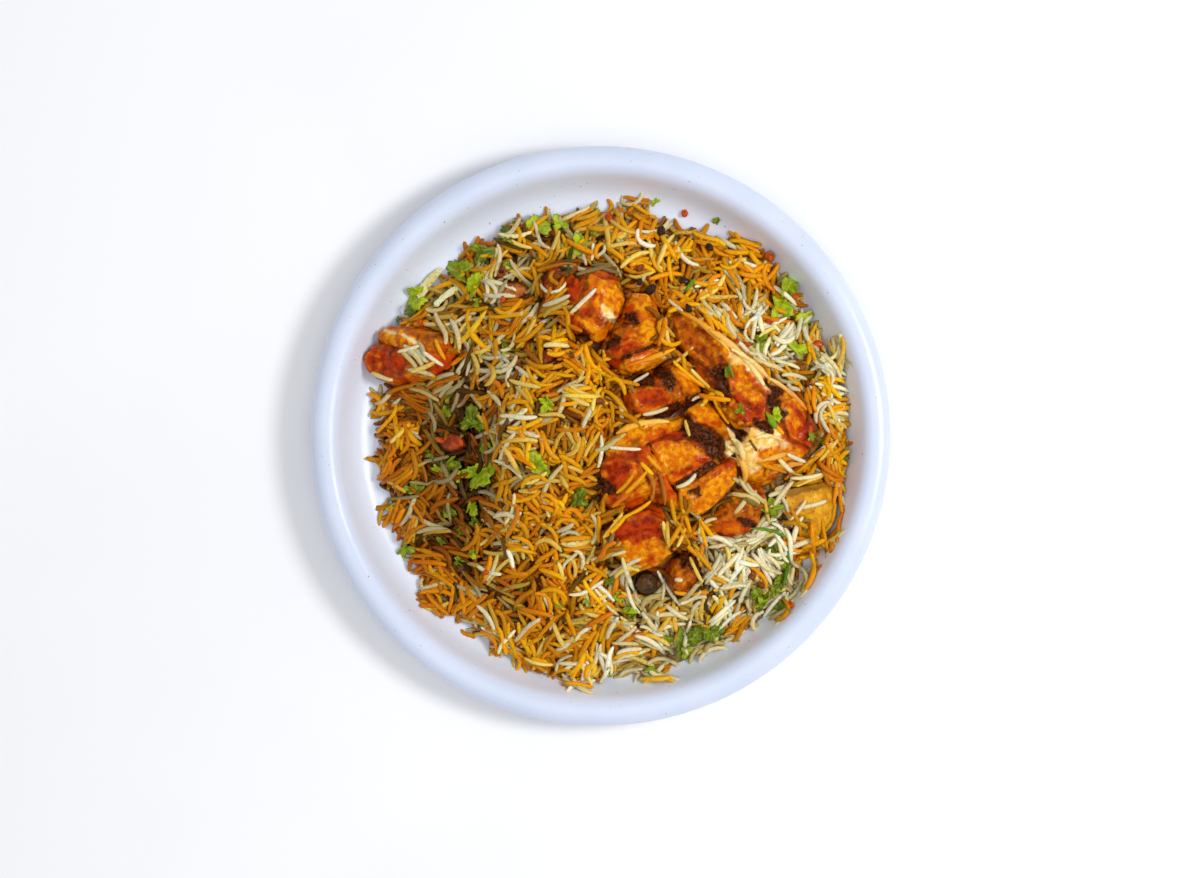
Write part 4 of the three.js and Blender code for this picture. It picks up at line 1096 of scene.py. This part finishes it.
def press_into_map(x, y, z, girth):
    """Raises the map under a grain."""
    steps = np.linspace(0, len(x) - 1, 3 * len(x) - 2)
    along = np.arange(len(x))
    px, py, pz = (np.interp(steps, along, value) for value in (x, y, z))
    near = disc[disc_reach < girth]
    rise = np.sqrt(girth**2 - disc_reach[disc_reach < girth] ** 2)
    place = cells((px[:, None] + near[:, 0]).ravel(), (py[:, None] + near[:, 1]).ravel())
    np.maximum.at(heights, place, (pz[:, None] + rise).ravel())


def add_grain(kind, x, y, z, girth, shade):
    """Keeps a grain with its taper, its own stain of colour and its painted shade."""
    plain, stained = (np.array(paint(*colour)[:3]) for colour in KINDS[kind])
    stain = random.normal(STAIN, STAIN_SPREAD) + random.normal(0, STAIN_SLOPE) * level
    stain = np.clip(stain, 0, 1)[:, None]
    # Painted shade darkens a grain and shifts its colour.
    shade_tint = shade ** np.array(PALE_SHADE_TINT if kind in ("white", "cream") else SHADE_TINT)
    colours = (plain * (1 - stain) + stained * stain) * random.normal(1, SHADE_SPREAD) * shade_tint
    colours = np.clip(colours / max(1, colours.max()), 0, 1)
    grains[kind].append((np.column_stack([x, y, z]), TAPER * girth, colours))
    press_into_map(x, y, z, girth)


def shade_at(spot, height, darkest):
    """How bright a grain is painted at a height over a spot: painted shade with depth, under the top grains,
    in the hollow and in sunk places, painted light on bulges, and darker in patches of juice.
    """
    depth = even_top.ravel()[spot] + DEPTH_FROM - height
    darker = DEEPER_DARKER * (1 - PLAIN_LIGHTER * shares[spot, 0])
    hidden = max(0, smooth_top.ravel()[spot] - HIDDEN_FROM - height)
    shade = np.clip(1.02 - darker * depth - HIDDEN_DARKER * hidden, darkest, BRIGHTEST)
    in_shadow = 1 - HOLLOW_DARKER * hollow_share.ravel()[spot]
    shade *= in_shadow * (BRIGHTEST - DAMP_DARKER * np.clip(damp[spot], 0, 1))
    return shade * (1 + BULGE_PAINTED_LIGHT * bulge.ravel()[spot])


def scatter_grains(trials, layer):
    """Drops grains into the lowest of a few places, and keeps those that come to rest under the top."""
    highest = smooth_top.ravel() + layer
    for _ in range(trials):
        tried = random.choice(spots, PLACES_TRIED)
        spot = tried[np.argmax(highest[tried] - heights.ravel()[tried])]
        x0, y0 = map_x.ravel()[spot], map_y.ravel()[spot]
        kind = list(KINDS)[min(np.searchsorted(shares[spot], random.uniform()), len(KINDS) - 1)]
        is_broken = random.uniform() < BROKEN_SHARE
        length = random.uniform(*(BROKEN_LENGTH if is_broken else GRAIN_LENGTH))
        girth = random.uniform(*GRAIN_GIRTH) * SWOLLEN.get(kind, 1)
        turn = math.radians(random.uniform(-GRAIN_TURN, GRAIN_TURN))
        if random.uniform() < BENT_SHARE:
            turn = math.radians(random.uniform(*BENT_TURN)) * random.choice([-1, 1])
        yaw = clump_yaw[spot] + random.normal(0, CLUMP_SPREAD)
        x, y = grain_path(x0, y0, yaw, length, turn, random.normal(0, GRAIN_WAVE / 2))
        overlap = WIDE_OVERLAP if random.uniform() < WIDE_SHARE else OVERLAP
        under = cells(x, y)
        if topping[under].mean() > overlap or clear[under].any() or np.hypot(x, y).max() > GRAIN_LIMIT:
            continue
        z, slope = settle(x, y, girth)
        too_high = z.mean() > highest[spot] or z.max() + girth > CEILING - CLEARANCE
        by_plate = math.hypot(x0, y0) > EDGE_FROM
        if not too_high and slope < (EDGE_STEEPEST if by_plate else STEEPEST):
            add_grain(kind, x, y, z, girth, shade_at(spot, z.mean(), EDGE_DARKEST if by_plate else DARKEST))


scatter_grains(LOWER_TRIALS, LOWER_LAYER)


def grain_tree(material):
    """Geometry nodes: a tapering round-sided body along each grain's middle line."""
    tree = bpy.data.node_groups.new("grain_body", "GeometryNodeTree")
    tree.interface.new_socket("Middle lines", in_out="INPUT", socket_type="NodeSocketGeometry")
    sides = tree.interface.new_socket("Sides", in_out="INPUT", socket_type="NodeSocketInt")
    flatness = tree.interface.new_socket("Flatness", in_out="INPUT", socket_type="NodeSocketFloat")
    tree.interface.new_socket("Grains", in_out="OUTPUT", socket_type="NodeSocketGeometry")
    given = tree.nodes.new("NodeGroupInput").outputs
    ring = add_node(tree, "GeometryNodeCurvePrimitiveCircle", Resolution=given["Sides"], Radius=1.0)
    squeeze = add_node(tree, "ShaderNodeCombineXYZ", X=1.0, Y=given["Flatness"], Z=1.0)
    section = add_node(
        tree, "GeometryNodeTransform", Geometry=ring.outputs["Curve"], Scale=squeeze.outputs["Vector"],
    )
    line = add_node(tree, "GeometryNodeMeshToCurve", Mesh=given["Middle lines"])
    upright = add_node(tree, "GeometryNodeSetCurveNormal", {"mode": "Z_UP"}, Curve=line.outputs["Curve"])
    girth = add_node(tree, "GeometryNodeInputNamedAttribute", Name="girth")
    body = add_node(
        tree, "GeometryNodeCurveToMesh", Curve=upright.outputs["Curve"],
        Profile_Curve=section.outputs["Geometry"], Scale=girth.outputs["Attribute"], Fill_Caps=True,
    )
    smooth = add_node(tree, "GeometryNodeSetShadeSmooth", Geometry=body.outputs["Mesh"])
    real = add_node(tree, "GeometryNodeRealizeInstances", Geometry=smooth.outputs["Geometry"])
    coat = add_node(tree, "GeometryNodeSetMaterial", Geometry=real.outputs["Geometry"], Material=material)
    out = tree.nodes.new("NodeGroupOutput")
    tree.links.new(coat.outputs["Geometry"], out.inputs["Grains"])
    return tree, sides.identifier, flatness.identifier


def rice_finish(name):
    """Cooked rice: moist, slightly see-through, stained along its length and finely uneven."""
    material, tree, shader = new_material(
        name, Subsurface_Weight=0.55, Subsurface_Scale=0.0018, Subsurface_Radius=(1.0, 0.6, 0.25),
        Coat_Weight=0.08, Coat_Roughness=0.12, Specular_IOR_Level=0.25,
        Specular_Tint=(1.0, 0.66, 0.25, 1.0),
    )
    stain = marked(tree, "stain", "Color")
    darker = mix(tree, 1.0, stain, (0.8, 0.72, 0.6, 1), blend="MULTIPLY")
    tone = mix(tree, uneven(tree, 1.6, 0.5, 0.75), stain, darker)
    gloss = mix(tree, uneven(tree, 2.5), 0.3, 0.48, "FLOAT")
    dress(tree, shader, tone, gloss, bump(tree, uneven(tree, 0.8, 0.2, 0.8, 2), 0.12))
    return material


def bodies_along(name, lines, material):
    """One piece holding a body along each of the middle lines."""
    count = len(lines) * GRAIN_STEPS
    edges = [(i, i + 1) for i in range(count - 1) if (i + 1) % GRAIN_STEPS]
    mesh = bpy.data.meshes.new(name)
    mesh.from_pydata([tuple(p) for p in np.vstack([line[0] for line in lines]) * MM], edges, [])
    mark_points(mesh, "girth", np.concatenate([line[1] for line in lines]) * MM)
    mark_points(mesh, "stain", np.column_stack([np.vstack([line[2] for line in lines]), np.ones(count)]))
    tree, sides, flatness = grain_tree(material)
    draft = link_object(name + "_draft", mesh)
    modifier = draft.modifiers.new("body", "NODES")
    modifier.node_group = tree
    modifier[sides] = GRAIN_SIDES
    modifier[flatness] = GRAIN_FLATNESS
    evaluated = draft.evaluated_get(bpy.context.evaluated_depsgraph_get())
    body = bpy.data.meshes.new_from_object(evaluated)
    body.name = name
    bpy.data.objects.remove(draft)
    piece = link_object(name, body)
    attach(piece, "root")
    return piece


# ------------------------------------------------------------ shreds of meat
# Strands of the white and the roasted flesh that have come loose and lie along the pieces they tore from,
# each thick in the middle and drawn out at its ends.

SHREDS = [
    # the dots of the view that it runs through, half thickness and the colour from end to end
    ([(672, 309), (702, 326), (728, 352)], 1.5, (226, 138, 16), (250, 196, 84)),
    ([(708, 331), (738, 354), (762, 386)], 1.9, (240, 168, 40), (255, 230, 164)),
    ([(730, 350), (750, 362), (768, 380)], 1.3, (255, 228, 160), (240, 190, 96)),
    ([(766, 378), (786, 390), (806, 410)], 1.4, (250, 208, 124), (224, 132, 30)),
    ([(726, 428), (734, 444), (738, 466)], 1.5, (252, 218, 140), (244, 182, 60)),
    ([(736, 456), (744, 470), (742, 488)], 1.6, (250, 200, 100), (232, 158, 30)),
    ([(726, 446), (738, 450), (750, 446)], 1.7, (255, 228, 160), (250, 210, 128)),
    ([(730, 438), (738, 446), (742, 460)], 1.8, (255, 232, 170), (250, 206, 120)),
    ([(754, 438), (768, 436), (784, 442)], 1.0, (255, 228, 160), (246, 196, 104)),
    ([(756, 462), (776, 456), (792, 452)], 1.2, (248, 196, 96), (220, 140, 40)),
    ([(764, 476), (784, 466), (806, 464)], 1.5, (206, 118, 40), (232, 164, 60)),
    ([(626, 367), (648, 360), (674, 350)], 1.4, (214, 104, 8), (248, 178, 26)),
    ([(676, 372), (690, 380), (704, 388)], 1.4, (240, 160, 20), (224, 118, 10)),
    ([(612, 506), (628, 490), (640, 470)], 1.5, (226, 124, 16), (190, 66, 6)),
    ([(642, 466), (652, 482), (650, 500)], 1.3, (176, 96, 20), (206, 130, 34)),
    ([(656, 470), (662, 486), (664, 504)], 1.2, (150, 76, 14), (196, 120, 30)),
    ([(616, 434), (640, 424), (668, 422)], 1.6, (240, 166, 16), (252, 204, 96)),
]


def strand(dots, girth, start, end):
    """The middle line, thickness and colours of a strand laid along what is below it."""
    corners = np.array([on_plan(*dot) for dot in dots])
    t = np.linspace(0, 1, GRAIN_STEPS)[:, None]
    middle = 2 * corners[1] - (corners[0] + corners[2]) / 2
    path = corners[0] * (1 - t) ** 2 + 2 * middle * t * (1 - t) + corners[2] * t**2
    under = heights[cells(path[:, 0], path[:, 1])]
    z = (under + GRAIN_FIT @ under) / 2 + girth * 0.25
    z = np.minimum(z, CEILING - 1.4 * girth - CLEARANCE)
    press_into_map(path[:, 0], path[:, 1], z, girth)
    unevenness = 1 + 0.25 * random.normal(0, 1, GRAIN_STEPS)
    thickness = girth * np.clip(unevenness, 0.6, 1.3) * TAPER
    first, last = (np.array(paint(*colour)[:3]) for colour in (start, end))
    return np.column_stack([path, z]), thickness, first * (1 - t) + last * t


shreds = bodies_along("meat_shreds", [strand(*shred) for shred in SHREDS], rice_finish("meat_shred"))

# ------------------------------------------------------------ strips, shards and crumbs
# Shards of fried onion, a strip of yellow pepper, and a pellet of spiced rice on the wall of the plate.
# Each is let down on to the grains laid so far until most of its underside touches.

LAID_VOXEL, LAID_SMOOTHING = 0.35, 4
LAID_LUMP, LAID_RELIEF, LAID_SEED = 2.0, 0.18, 50  # size and height of their lumps
LAID = [
    # node, slot, two colours, roughness, size of its colour patches
    ("onion_shard_0", "onion", (232, 224, 170), (214, 196, 120), 0.3, 4),
    ("onion_shard_1", "onion", (232, 226, 180), (216, 200, 128), 0.3, 4),
    ("pepper_strip", "yellow_pepper", (236, 196, 26), (214, 160, 14), 0.22, 5),
    ("loose_crumb", "rice", (198, 92, 12), (150, 56, 8), 0.45, 1.5),
]


def rest_on_map(points, share=0.85):
    """How far a piece is lifted so that it rests on what has been laid: most of its underside is clear."""
    rows = np.round(points[:, 0] / CELL) * 4096 + np.round(points[:, 1] / CELL)
    order = np.lexsort((points[:, 2], rows))
    first = np.append(True, np.diff(rows[order]) > 0)
    lowest = points[order][first]
    return np.quantile(heights[cells(lowest[:, 0], lowest[:, 1])] - lowest[:, 2], share)


for number, (node, slot, first, second, roughness, patch) in enumerate(LAID):
    finish = plain_finish(node + "_finish", first, second, roughness, patch)
    piece = fine_copy(node, "fine_" + node, finish, LAID_VOXEL, LAID_SMOOTHING)
    lumpy(piece, LAID_LUMP, LAID_RELIEF, LAID_SEED + number)
    points = mesh_points(piece.data) / MM
    points[:, 2] += rest_on_map(points)
    set_points(piece.data, points * MM)
    raise_map(points, is_topping=node != "loose_crumb")
    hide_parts(node)
    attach(piece, "root")

# ------------------------------------------------------------ coriander
# Torn leaves of fresh coriander: fans of three lobes with toothed edges, veined and crumpled, thinner than
# a grain of rice, with a few bits of stem. They lie as they fell, partly under the last grains.

# Each leaf as the middle of it on the plan, its half length and the bearing of its tip in degrees.
LEAVES = [
    (-30, 105, 6.2, 80), (-20, 104, 4.6, 120), (-42, 99.5, 5.6, 70), (-56, 90, 5.8, 15),
    (-70, 80, 6.6, 150), (-92, 67, 6, 200), (-60.5, 73.5, 6.4, 60), (-9.5, 93.5, 5, 110),
    (-23.5, 14, 4.8, 300), (-62, 9, 6.4, 100), (-74, -13.5, 5, 210), (-58, -17, 7.4, 40),
    (-30, -16, 6.6, 330), (-11.5, -30, 4.6, 190), (-91.5, -26.5, 5, 170), (-96, -56, 4.4, 230),
    (39.5, -102, 8.4, 260), (54.5, -96, 5.4, 300), (77.5, -81, 6, 250), (88, -83, 4.2, 320),
    (83.5, -35.5, 5.6, 20), (84.5, 8, 4.2, 320), (66.5, 13, 3.2, 90), (92, 74, 6.8, 75),
    (85.5, 63.5, 6.2, 100), (100.5, 57, 4.4, 45), (75.5, 44.5, 5, 200), (94, 42, 5.4, 140),
]
# Leaves that lie in the light are bright and those in shade dark, so each leaf's tone is partly its own
# green and partly painted light and shade.
BRIGHT_LEAVES = {0, 1, 5, 6, 7, 8, 11, 12, 21, 23, 24, 25, 27}

# Smaller bits: dots of the view, half length and bearing.
LEAF_BITS = [
    ((597, 208), 2.6, 40), ((407, 310), 2.8, 190), ((396, 321), 2.6, 250), ((593, 230), 2.2, 80),
    ((544, 259), 3.0, 20), ((505, 349), 2.6, 140), ((501, 372), 2.2, 300), ((445, 414), 3.2, 250),
    ((388, 508), 2.8, 200), ((577, 498), 3.0, 100), ((521, 588), 2.4, 30), ((560, 604), 2.6, 300),
    ((608, 580), 2.4, 160), ((633, 613), 2.8, 70), ((610, 674), 2.8, 250), ((745, 600), 3.0, 10),
    ((811, 438), 2.4, 210), ((823, 440), 2.0, 30), ((850, 456), 2.6, 340), ((760, 328), 2.4, 100),
    ((782, 350), 2.4, 10), ((745, 270), 2.6, 60), ((656, 198), 2.2, 90), ((720, 218), 2.2, 50),
    ((448, 512), 3.4, 120), ((462, 530), 3.6, 20), ((440, 545), 3.0, 260), ((470, 552), 3.2, 80),
    ((455, 476), 3.0, 200), ((437, 470), 2.8, 330), ((726, 372), 2.4, 100), ((508, 268), 3.0, 220),
    ((478, 300), 2.6, 30), ((560, 560), 2.4, 200), ((640, 655), 3.0, 320), ((668, 640), 3.0, 20),
    ((772, 545), 3.4, 60), ((779, 562), 3.8, 110), ((784, 580), 3.6, 80), ((776, 594), 3.2, 250),
    ((762, 606), 3.6, 200), ((590, 600), 2.6, 40), ((632, 608), 3.2, 330), ((618, 596), 2.6, 190),
    ((700, 628), 3.8, 100), ((688, 652), 3.6, 30), ((724, 600), 2.6, 80), ((650, 672), 3.0, 200),
    ((476, 424), 3.4, 20), ((486, 446), 3.0, 130), ((470, 506), 4.0, 70), ((476, 524), 3.2, 330),
    ((456, 560), 3.2, 150), ((448, 396), 2.8, 45), ((492, 470), 3.0, 260), ((430, 452), 2.6, 10),
]
LEAF_RINGS, LEAF_SECTORS, LEAF_THICKNESS = 8, 54, 0.34
WIDE_LEAF = 8  # leaves as long as this lie under the last grains
BRIGHT_TONE, DARK_TONE, BIT_TONE = (0.65, 1.0), (0.1, 0.5), (0.0, 0.9)
BITS_SEED = 100  # the seeds of the large leaves are below this
CRUMPLES = [(3.4, 1.6, 61), (1.5, 0.5, 62)]  # size, height and seed


def leaf_reach(bearing, share, seed):
    """How far a leaf of size 1 reaches each way: lobed, toothed, notched at its stalk and torn."""
    depth, skew = 0.33 + 0.09 * math.sin(seed), 0.35 * math.sin(2.3 * seed)
    lobe_count = 3 + seed % 3 // 2 * 2
    lobes = 1 - depth + depth * np.cos(lobe_count * bearing * 0.96 + skew)
    teeth = (0.2 * np.abs(np.sin(7.5 * bearing + seed)) + 0.06 * np.abs(np.sin(16 * bearing))) * share**3
    notch = 1 - 0.5 * np.exp(-((np.abs(bearing) - np.pi) / 0.5) ** 2)
    torn = 1 - 0.55 * np.exp(-((np.sin((bearing - 2.4 * seed) / 2) / 0.3) ** 2))
    return share * (np.sqrt(lobes) + teeth) * notch * torn


def leaf_mesh(name, x, y, size, tip, seed, tone):
    """A leaf that leans as the rice under it does, folded along its middle, with its veins marked."""
    bearing = np.repeat(np.linspace(-np.pi, np.pi, LEAF_SECTORS, endpoint=False), LEAF_RINGS)
    share = np.tile(np.linspace(1, 0.1, LEAF_RINGS), LEAF_SECTORS)
    reach = 1.12 * size * leaf_reach(bearing, share, seed)
    turn = math.radians(tip)
    x, y = x - 0.3 * size * math.cos(turn), y - 0.3 * size * math.sin(turn)
    # One half is folded up narrower than the other.
    along, across = reach * np.cos(bearing), reach * np.sin(bearing)
    folded = across * math.sin(5 * seed) > 0
    across *= np.where(folded, 0.55 + 0.25 * math.sin(3 * seed), 0.95)
    px = x + along * math.cos(turn) - across * math.sin(turn)
    py = y + along * math.sin(turn) + across * math.cos(turn)
    place = np.column_stack([px, py, np.full(len(px), 7.0 * seed)])
    curl = size * (0.42 * share**2 * np.sin(2 * bearing + seed) + 0.36 * share * np.abs(np.sin(bearing)))
    curl += 0.5 * np.abs(across) * folded
    coarse, fine = (height * random_field(place, length, seed) for length, height, seed in CRUMPLES)
    curl += coarse * share + fine
    # It leans with the plane through what is below it, and stands on most of that.
    near = np.hypot(map_x - x, map_y - y) < size
    spot = np.column_stack([map_x[near] - x, map_y[near] - y, np.ones(near.sum())])
    lean = np.linalg.lstsq(spot, heights[near], rcond=None)[0]
    stand = np.quantile(heights[near] - spot @ lean, 0.7)
    z = np.column_stack([px - x, py - y, np.ones(len(px))]) @ lean + stand + curl
    z = np.minimum(z, CEILING - 0.6)
    half = LEAF_THICKNESS / 2 * np.minimum(1, 4 * (1 - share) + 0.3)
    sheets = [np.column_stack([px, py, z + half]), np.column_stack([px, py, z - half])]
    middle = lean[2] + stand
    mesh = closed_lens(
        name, LEAF_SECTORS, LEAF_RINGS, *sheets, (x, y, middle + LEAF_THICKNESS / 2),
        (x, y, middle - LEAF_THICKNESS / 2),
    )
    # Three main veins, and finer ones between them.
    points = mesh_points(mesh) / MM
    angle = np.arctan2(points[:, 1] - y, points[:, 0] - x) - turn
    main_veins = np.exp(-((np.abs(np.sin(1.5 * angle)) / 0.16) ** 2))
    side_veins = 0.5 * np.exp(-((np.sin(6 * angle) / 0.3) ** 2))
    mark_points(mesh, "vein", np.clip(main_veins + side_veins, 0, 1))
    mark_points(mesh, "tone", np.full(len(points), tone))
    raise_map(points, is_topping=size < WIDE_LEAF)
    return mesh


leaf_finish, tree, shader = new_material(
    "coriander_leaf", Specular_IOR_Level=0.25, Subsurface_Weight=0.15, Subsurface_Scale=0.0012,
    Subsurface_Radius=(0.5, 1.0, 0.2), Specular_Tint=(0.9, 1.0, 0.4, 1.0),
)
tone, vein = marked(tree, "tone"), marked(tree, "vein")
dark = mix(tree, uneven(tree, 2.5), paint(44, 58, 4), paint(84, 102, 8))
bright = mix(tree, uneven(tree, 2.5), paint(142, 166, 8), paint(190, 206, 34))
green = mix(tree, tone, dark, bright)
pale_vein = mix(tree, 0.45, green, paint(200, 206, 90))
gloss = mix(tree, uneven(tree, 1.8), 0.34, 0.6, "FLOAT")
relief = bump(tree, uneven(tree, 0.8, 0.2, 0.8), 0.1, normal=bump(tree, vein, 0.12))
dress(tree, shader, mix(tree, vein, green, pale_vein), gloss, relief)

for number, (x, y, size, tip) in enumerate(LEAVES):
    tone = random.uniform(*(BRIGHT_TONE if number in BRIGHT_LEAVES else DARK_TONE))
    mesh = leaf_mesh(f"leaf_{number:02d}", x, y, size, tip, number, tone)
    leaf = link_object(f"leaf_{number:02d}", mesh, leaf_finish)
    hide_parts(f"coriander_leaf_{number:02d}")
    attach(leaf, "root")

bits = bmesh.new()
for number, (dot, size, tip) in enumerate(LEAF_BITS):
    tone = random.uniform(*BIT_TONE)
    bits.from_mesh(leaf_mesh("bit", *on_plan(*dot), size, tip, BITS_SEED + number, tone))
bits_mesh = bpy.data.meshes.new("coriander_bits")
bits.to_mesh(bits_mesh)
bits.free()
bits_mesh.shade_smooth()
coriander_bits = link_object("coriander_bits", bits_mesh, leaf_finish)
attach(coriander_bits, "root")

# ------------------------------------------------------------ the last grains of rice
# The top layer, which half covers the leaves, then the grains that were shaken on to the chicken itself.
# Those lie singly, so each is placed by its two tips.

SINGLE_GIRTH, SINGLE_SHADE = 0.9, (0.72, 0.95)  # of the grains on the chicken
ON_CHICKEN = [
    # kind, the two tips in dots of the view, and how far the grain turns in degrees
    ("yellow", (670, 498), (676, 526), 10), ("yellow", (681, 508), (690, 536), -14),
    ("cream", (662, 520), (667, 542), 8), ("yellow", (699, 518), (706, 546), 12),
    ("cream", (689, 556), (702, 582), 12), ("yellow", (694, 548), (712, 570), 10),
    ("white", (541, 284), (566, 284), 160), ("white", (571, 315), (596, 291), 10),
    ("white", (633, 383), (648, 374), 8), ("white", (642, 415), (667, 408), 20),
    ("white", (609, 447), (640, 449), 10), ("white", (598, 467), (601, 435), 30),
    ("white", (675, 486), (694, 473), 60), ("cream", (684, 420), (688, 436), 10),
    ("white", (657, 570), (680, 605), 12), ("white", (662, 600), (664, 578), 10),
    ("white", (680, 603), (700, 590), 50), ("white", (622, 556), (634, 590), 12),
    ("yellow", (613, 520), (650, 500), 25), ("yellow", (605, 535), (625, 515), 15),
    ("cream", (676, 545), (684, 527), 10), ("yellow", (660, 340), (680, 342), 110),
    ("cream", (673, 364), (692, 348), 12), ("yellow", (672, 362), (704, 388), 12),
    ("cream", (690, 370), (708, 388), 10), ("yellow", (712, 400), (728, 424), 12),
    ("yellow", (770, 422), (782, 434), 5), ("yellow", (646, 455), (660, 470), 12),
    ("yellow", (640, 462), (652, 474), 10), ("yellow", (616, 492), (632, 474), 30),
    ("cream", (666, 520), (668, 545), 14), ("yellow", (676, 520), (690, 545), 14),
    ("yellow", (664, 548), (680, 522), 12), ("yellow", (625, 492), (646, 470), 14),
    ("cream", (603, 536), (622, 512), 14), ("yellow", (700, 520), (716, 540), 12),
    ("white", (668, 300), (682, 312), 12), ("cream", (664, 328), (674, 338), 12),
    ("white", (674, 578), (682, 579), 5), ("white", (370, 372), (392, 380), 16),
    ("cream", (412, 372), (436, 362), 20), ("white", (398, 352), (420, 346), 12),
    ("white", (424, 352), (444, 366), 12), ("yellow", (436, 340), (446, 360), 14),
    ("white", (797, 508), (827, 501), 14), ("white", (790, 520), (806, 500), 12),
    ("yellow", (812, 540), (816, 566), 10), ("white", (777, 458), (792, 472), 20),
    ("white", (786, 454), (806, 462), 10), ("white", (790, 478), (822, 474), 24),
    ("orange", (812, 522), (817, 558), 14), ("yellow", (823, 518), (829, 550), 10),
    ("orange", (834, 506), (838, 470), 16), ("cream", (764, 498), (770, 524), 14),
]

scatter_grains(UPPER_TRIALS, UPPER_LAYER)

for kind, start, end, turn in ON_CHICKEN:
    tips = np.array([on_plan(*start), on_plan(*end)])
    chord, turn = math.dist(*tips), math.radians(turn)
    length = chord * (turn / 2) / math.sin(turn / 2)
    yaw = math.atan2(*(tips[1] - tips[0])[::-1])
    x, y = grain_path(0, 0, yaw, length, turn)
    x += tips[:, 0].mean() - (x[0] + x[-1]) / 2
    y += tips[:, 1].mean() - (y[0] + y[-1]) / 2
    girth = SINGLE_GIRTH * random.uniform(*GRAIN_GIRTH)
    z = np.minimum(settle(x, y, girth)[0], CEILING - girth - CLEARANCE)
    add_grain(kind, x, y, z, girth, random.uniform(*SINGLE_SHADE))

for kind, lines in grains.items():
    piece = bodies_along("rice_" + kind, lines, rice_finish("rice_" + kind))

# ------------------------------------------------------------ stems
# Bits of coriander stem, round and limp, dropped with the leaves. They curve over what lies below them,
# the longest two beside the white rice.

STEMS = [
    # the dots of the view that it runs through, half thickness and colour
    ([(749, 528), (768, 530), (786, 537)], 0.8, (96, 140, 30)),
    ([(786, 540), (789, 566), (782, 592)], 1.0, (78, 124, 26)),
    ([(573, 245), (569, 262), (570, 279)], 0.9, (44, 78, 16)),
    ([(696, 278), (690, 285), (686, 292)], 0.9, (96, 140, 24)),
    ([(764, 412), (770, 422), (775, 428)], 1.3, (122, 160, 26)),
    ([(727, 364), (729, 372), (733, 380)], 0.8, (110, 140, 40)),
]
stem_lines = [strand(dots, girth, colour, colour) for dots, girth, colour in STEMS]
stems = bodies_along("coriander_stems", stem_lines, rice_finish("coriander_stem"))
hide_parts("coriander_stem_0", "coriander_stem_1")

# ------------------------------------------------------------ spices and crumbs
# Whole spices darkened in the oil, and crumbs of fried onion and spice paste. Each is a small lumpy pellet,
# longer than it is high, that rests on what has been laid.

PELLET_FORM, PELLET_SEED = (1.35, 0.9, 0.7), 70
PELLET_CLEAR = 0.6  # share of its underside that is clear of what it lies on
PELLETS = {
    # name: the place of each in dots of the view and its size, and two colours
    "dark_spices": (
        [((661, 231), 2.1), ((711, 246), 1.8), ((684, 281), 1.9), ((650, 290), 2.2), ((640, 282), 1.5),
         ((688, 309), 1.6), ((600, 486), 1.5), ((597, 497), 1.3)],
        (48, 26, 12), (26, 14, 8),
    ),
    "red_crumbs": (
        [((608, 217), 1.9), ((770, 322), 1.4), ((820, 343), 1.9), ((797, 295), 1.4), ((686, 210), 1.7),
         ((792, 605), 1.3), ((747, 345), 1.6), ((735, 342), 1.3), ((503, 300), 1.3), ((420, 322), 1.3),
         ((440, 440), 1.7), ((486, 572), 1.2)],
        (214, 84, 8), (162, 48, 6),
    ),
    "brown_crumbs": (
        [((752, 576), 1.9), ((762, 586), 1.8), ((600, 402), 1.8), ((640, 268), 1.5), ((804, 366), 1.7),
         ((572, 356), 1.4), ((530, 470), 1.3), ((628, 296), 1.6)],
        (156, 82, 16), (104, 48, 10),
    ),
}


def pellet(work, x, y, radius, seed):
    """A lumpy pellet that rests on what has been laid."""
    ball = bmesh.ops.create_icosphere(work, subdivisions=3, radius=1)["verts"]
    points = np.array([vertex.co for vertex in ball])
    swell = radius * (1 + 0.4 * random_field(points, 1.1, seed) + 0.16 * random_field(points, 0.45, seed))
    points = points * swell[:, None] * PELLET_FORM
    turn = Matrix.Rotation(2.4 * seed, 3, "Z")
    points = points @ np.array(turn)
    points[:, :2] += x, y
    points[:, 2] += min(rest_on_map(points, PELLET_CLEAR), CEILING - CLEARANCE - points[:, 2].max())
    for vertex, point in zip(ball, points):
        vertex.co = point * MM


for name, (places, first, second) in PELLETS.items():
    work = bmesh.new()
    for number, (dot, radius) in enumerate(places):
        pellet(work, *on_plan(*dot), radius, PELLET_SEED + number)
    mesh = bpy.data.meshes.new(name)
    work.to_mesh(mesh)
    work.free()
    mesh.shade_smooth()
    piece = link_object(name, mesh, plain_finish(name + "_finish", first, second, 0.3, 1.6))
    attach(piece, "root")
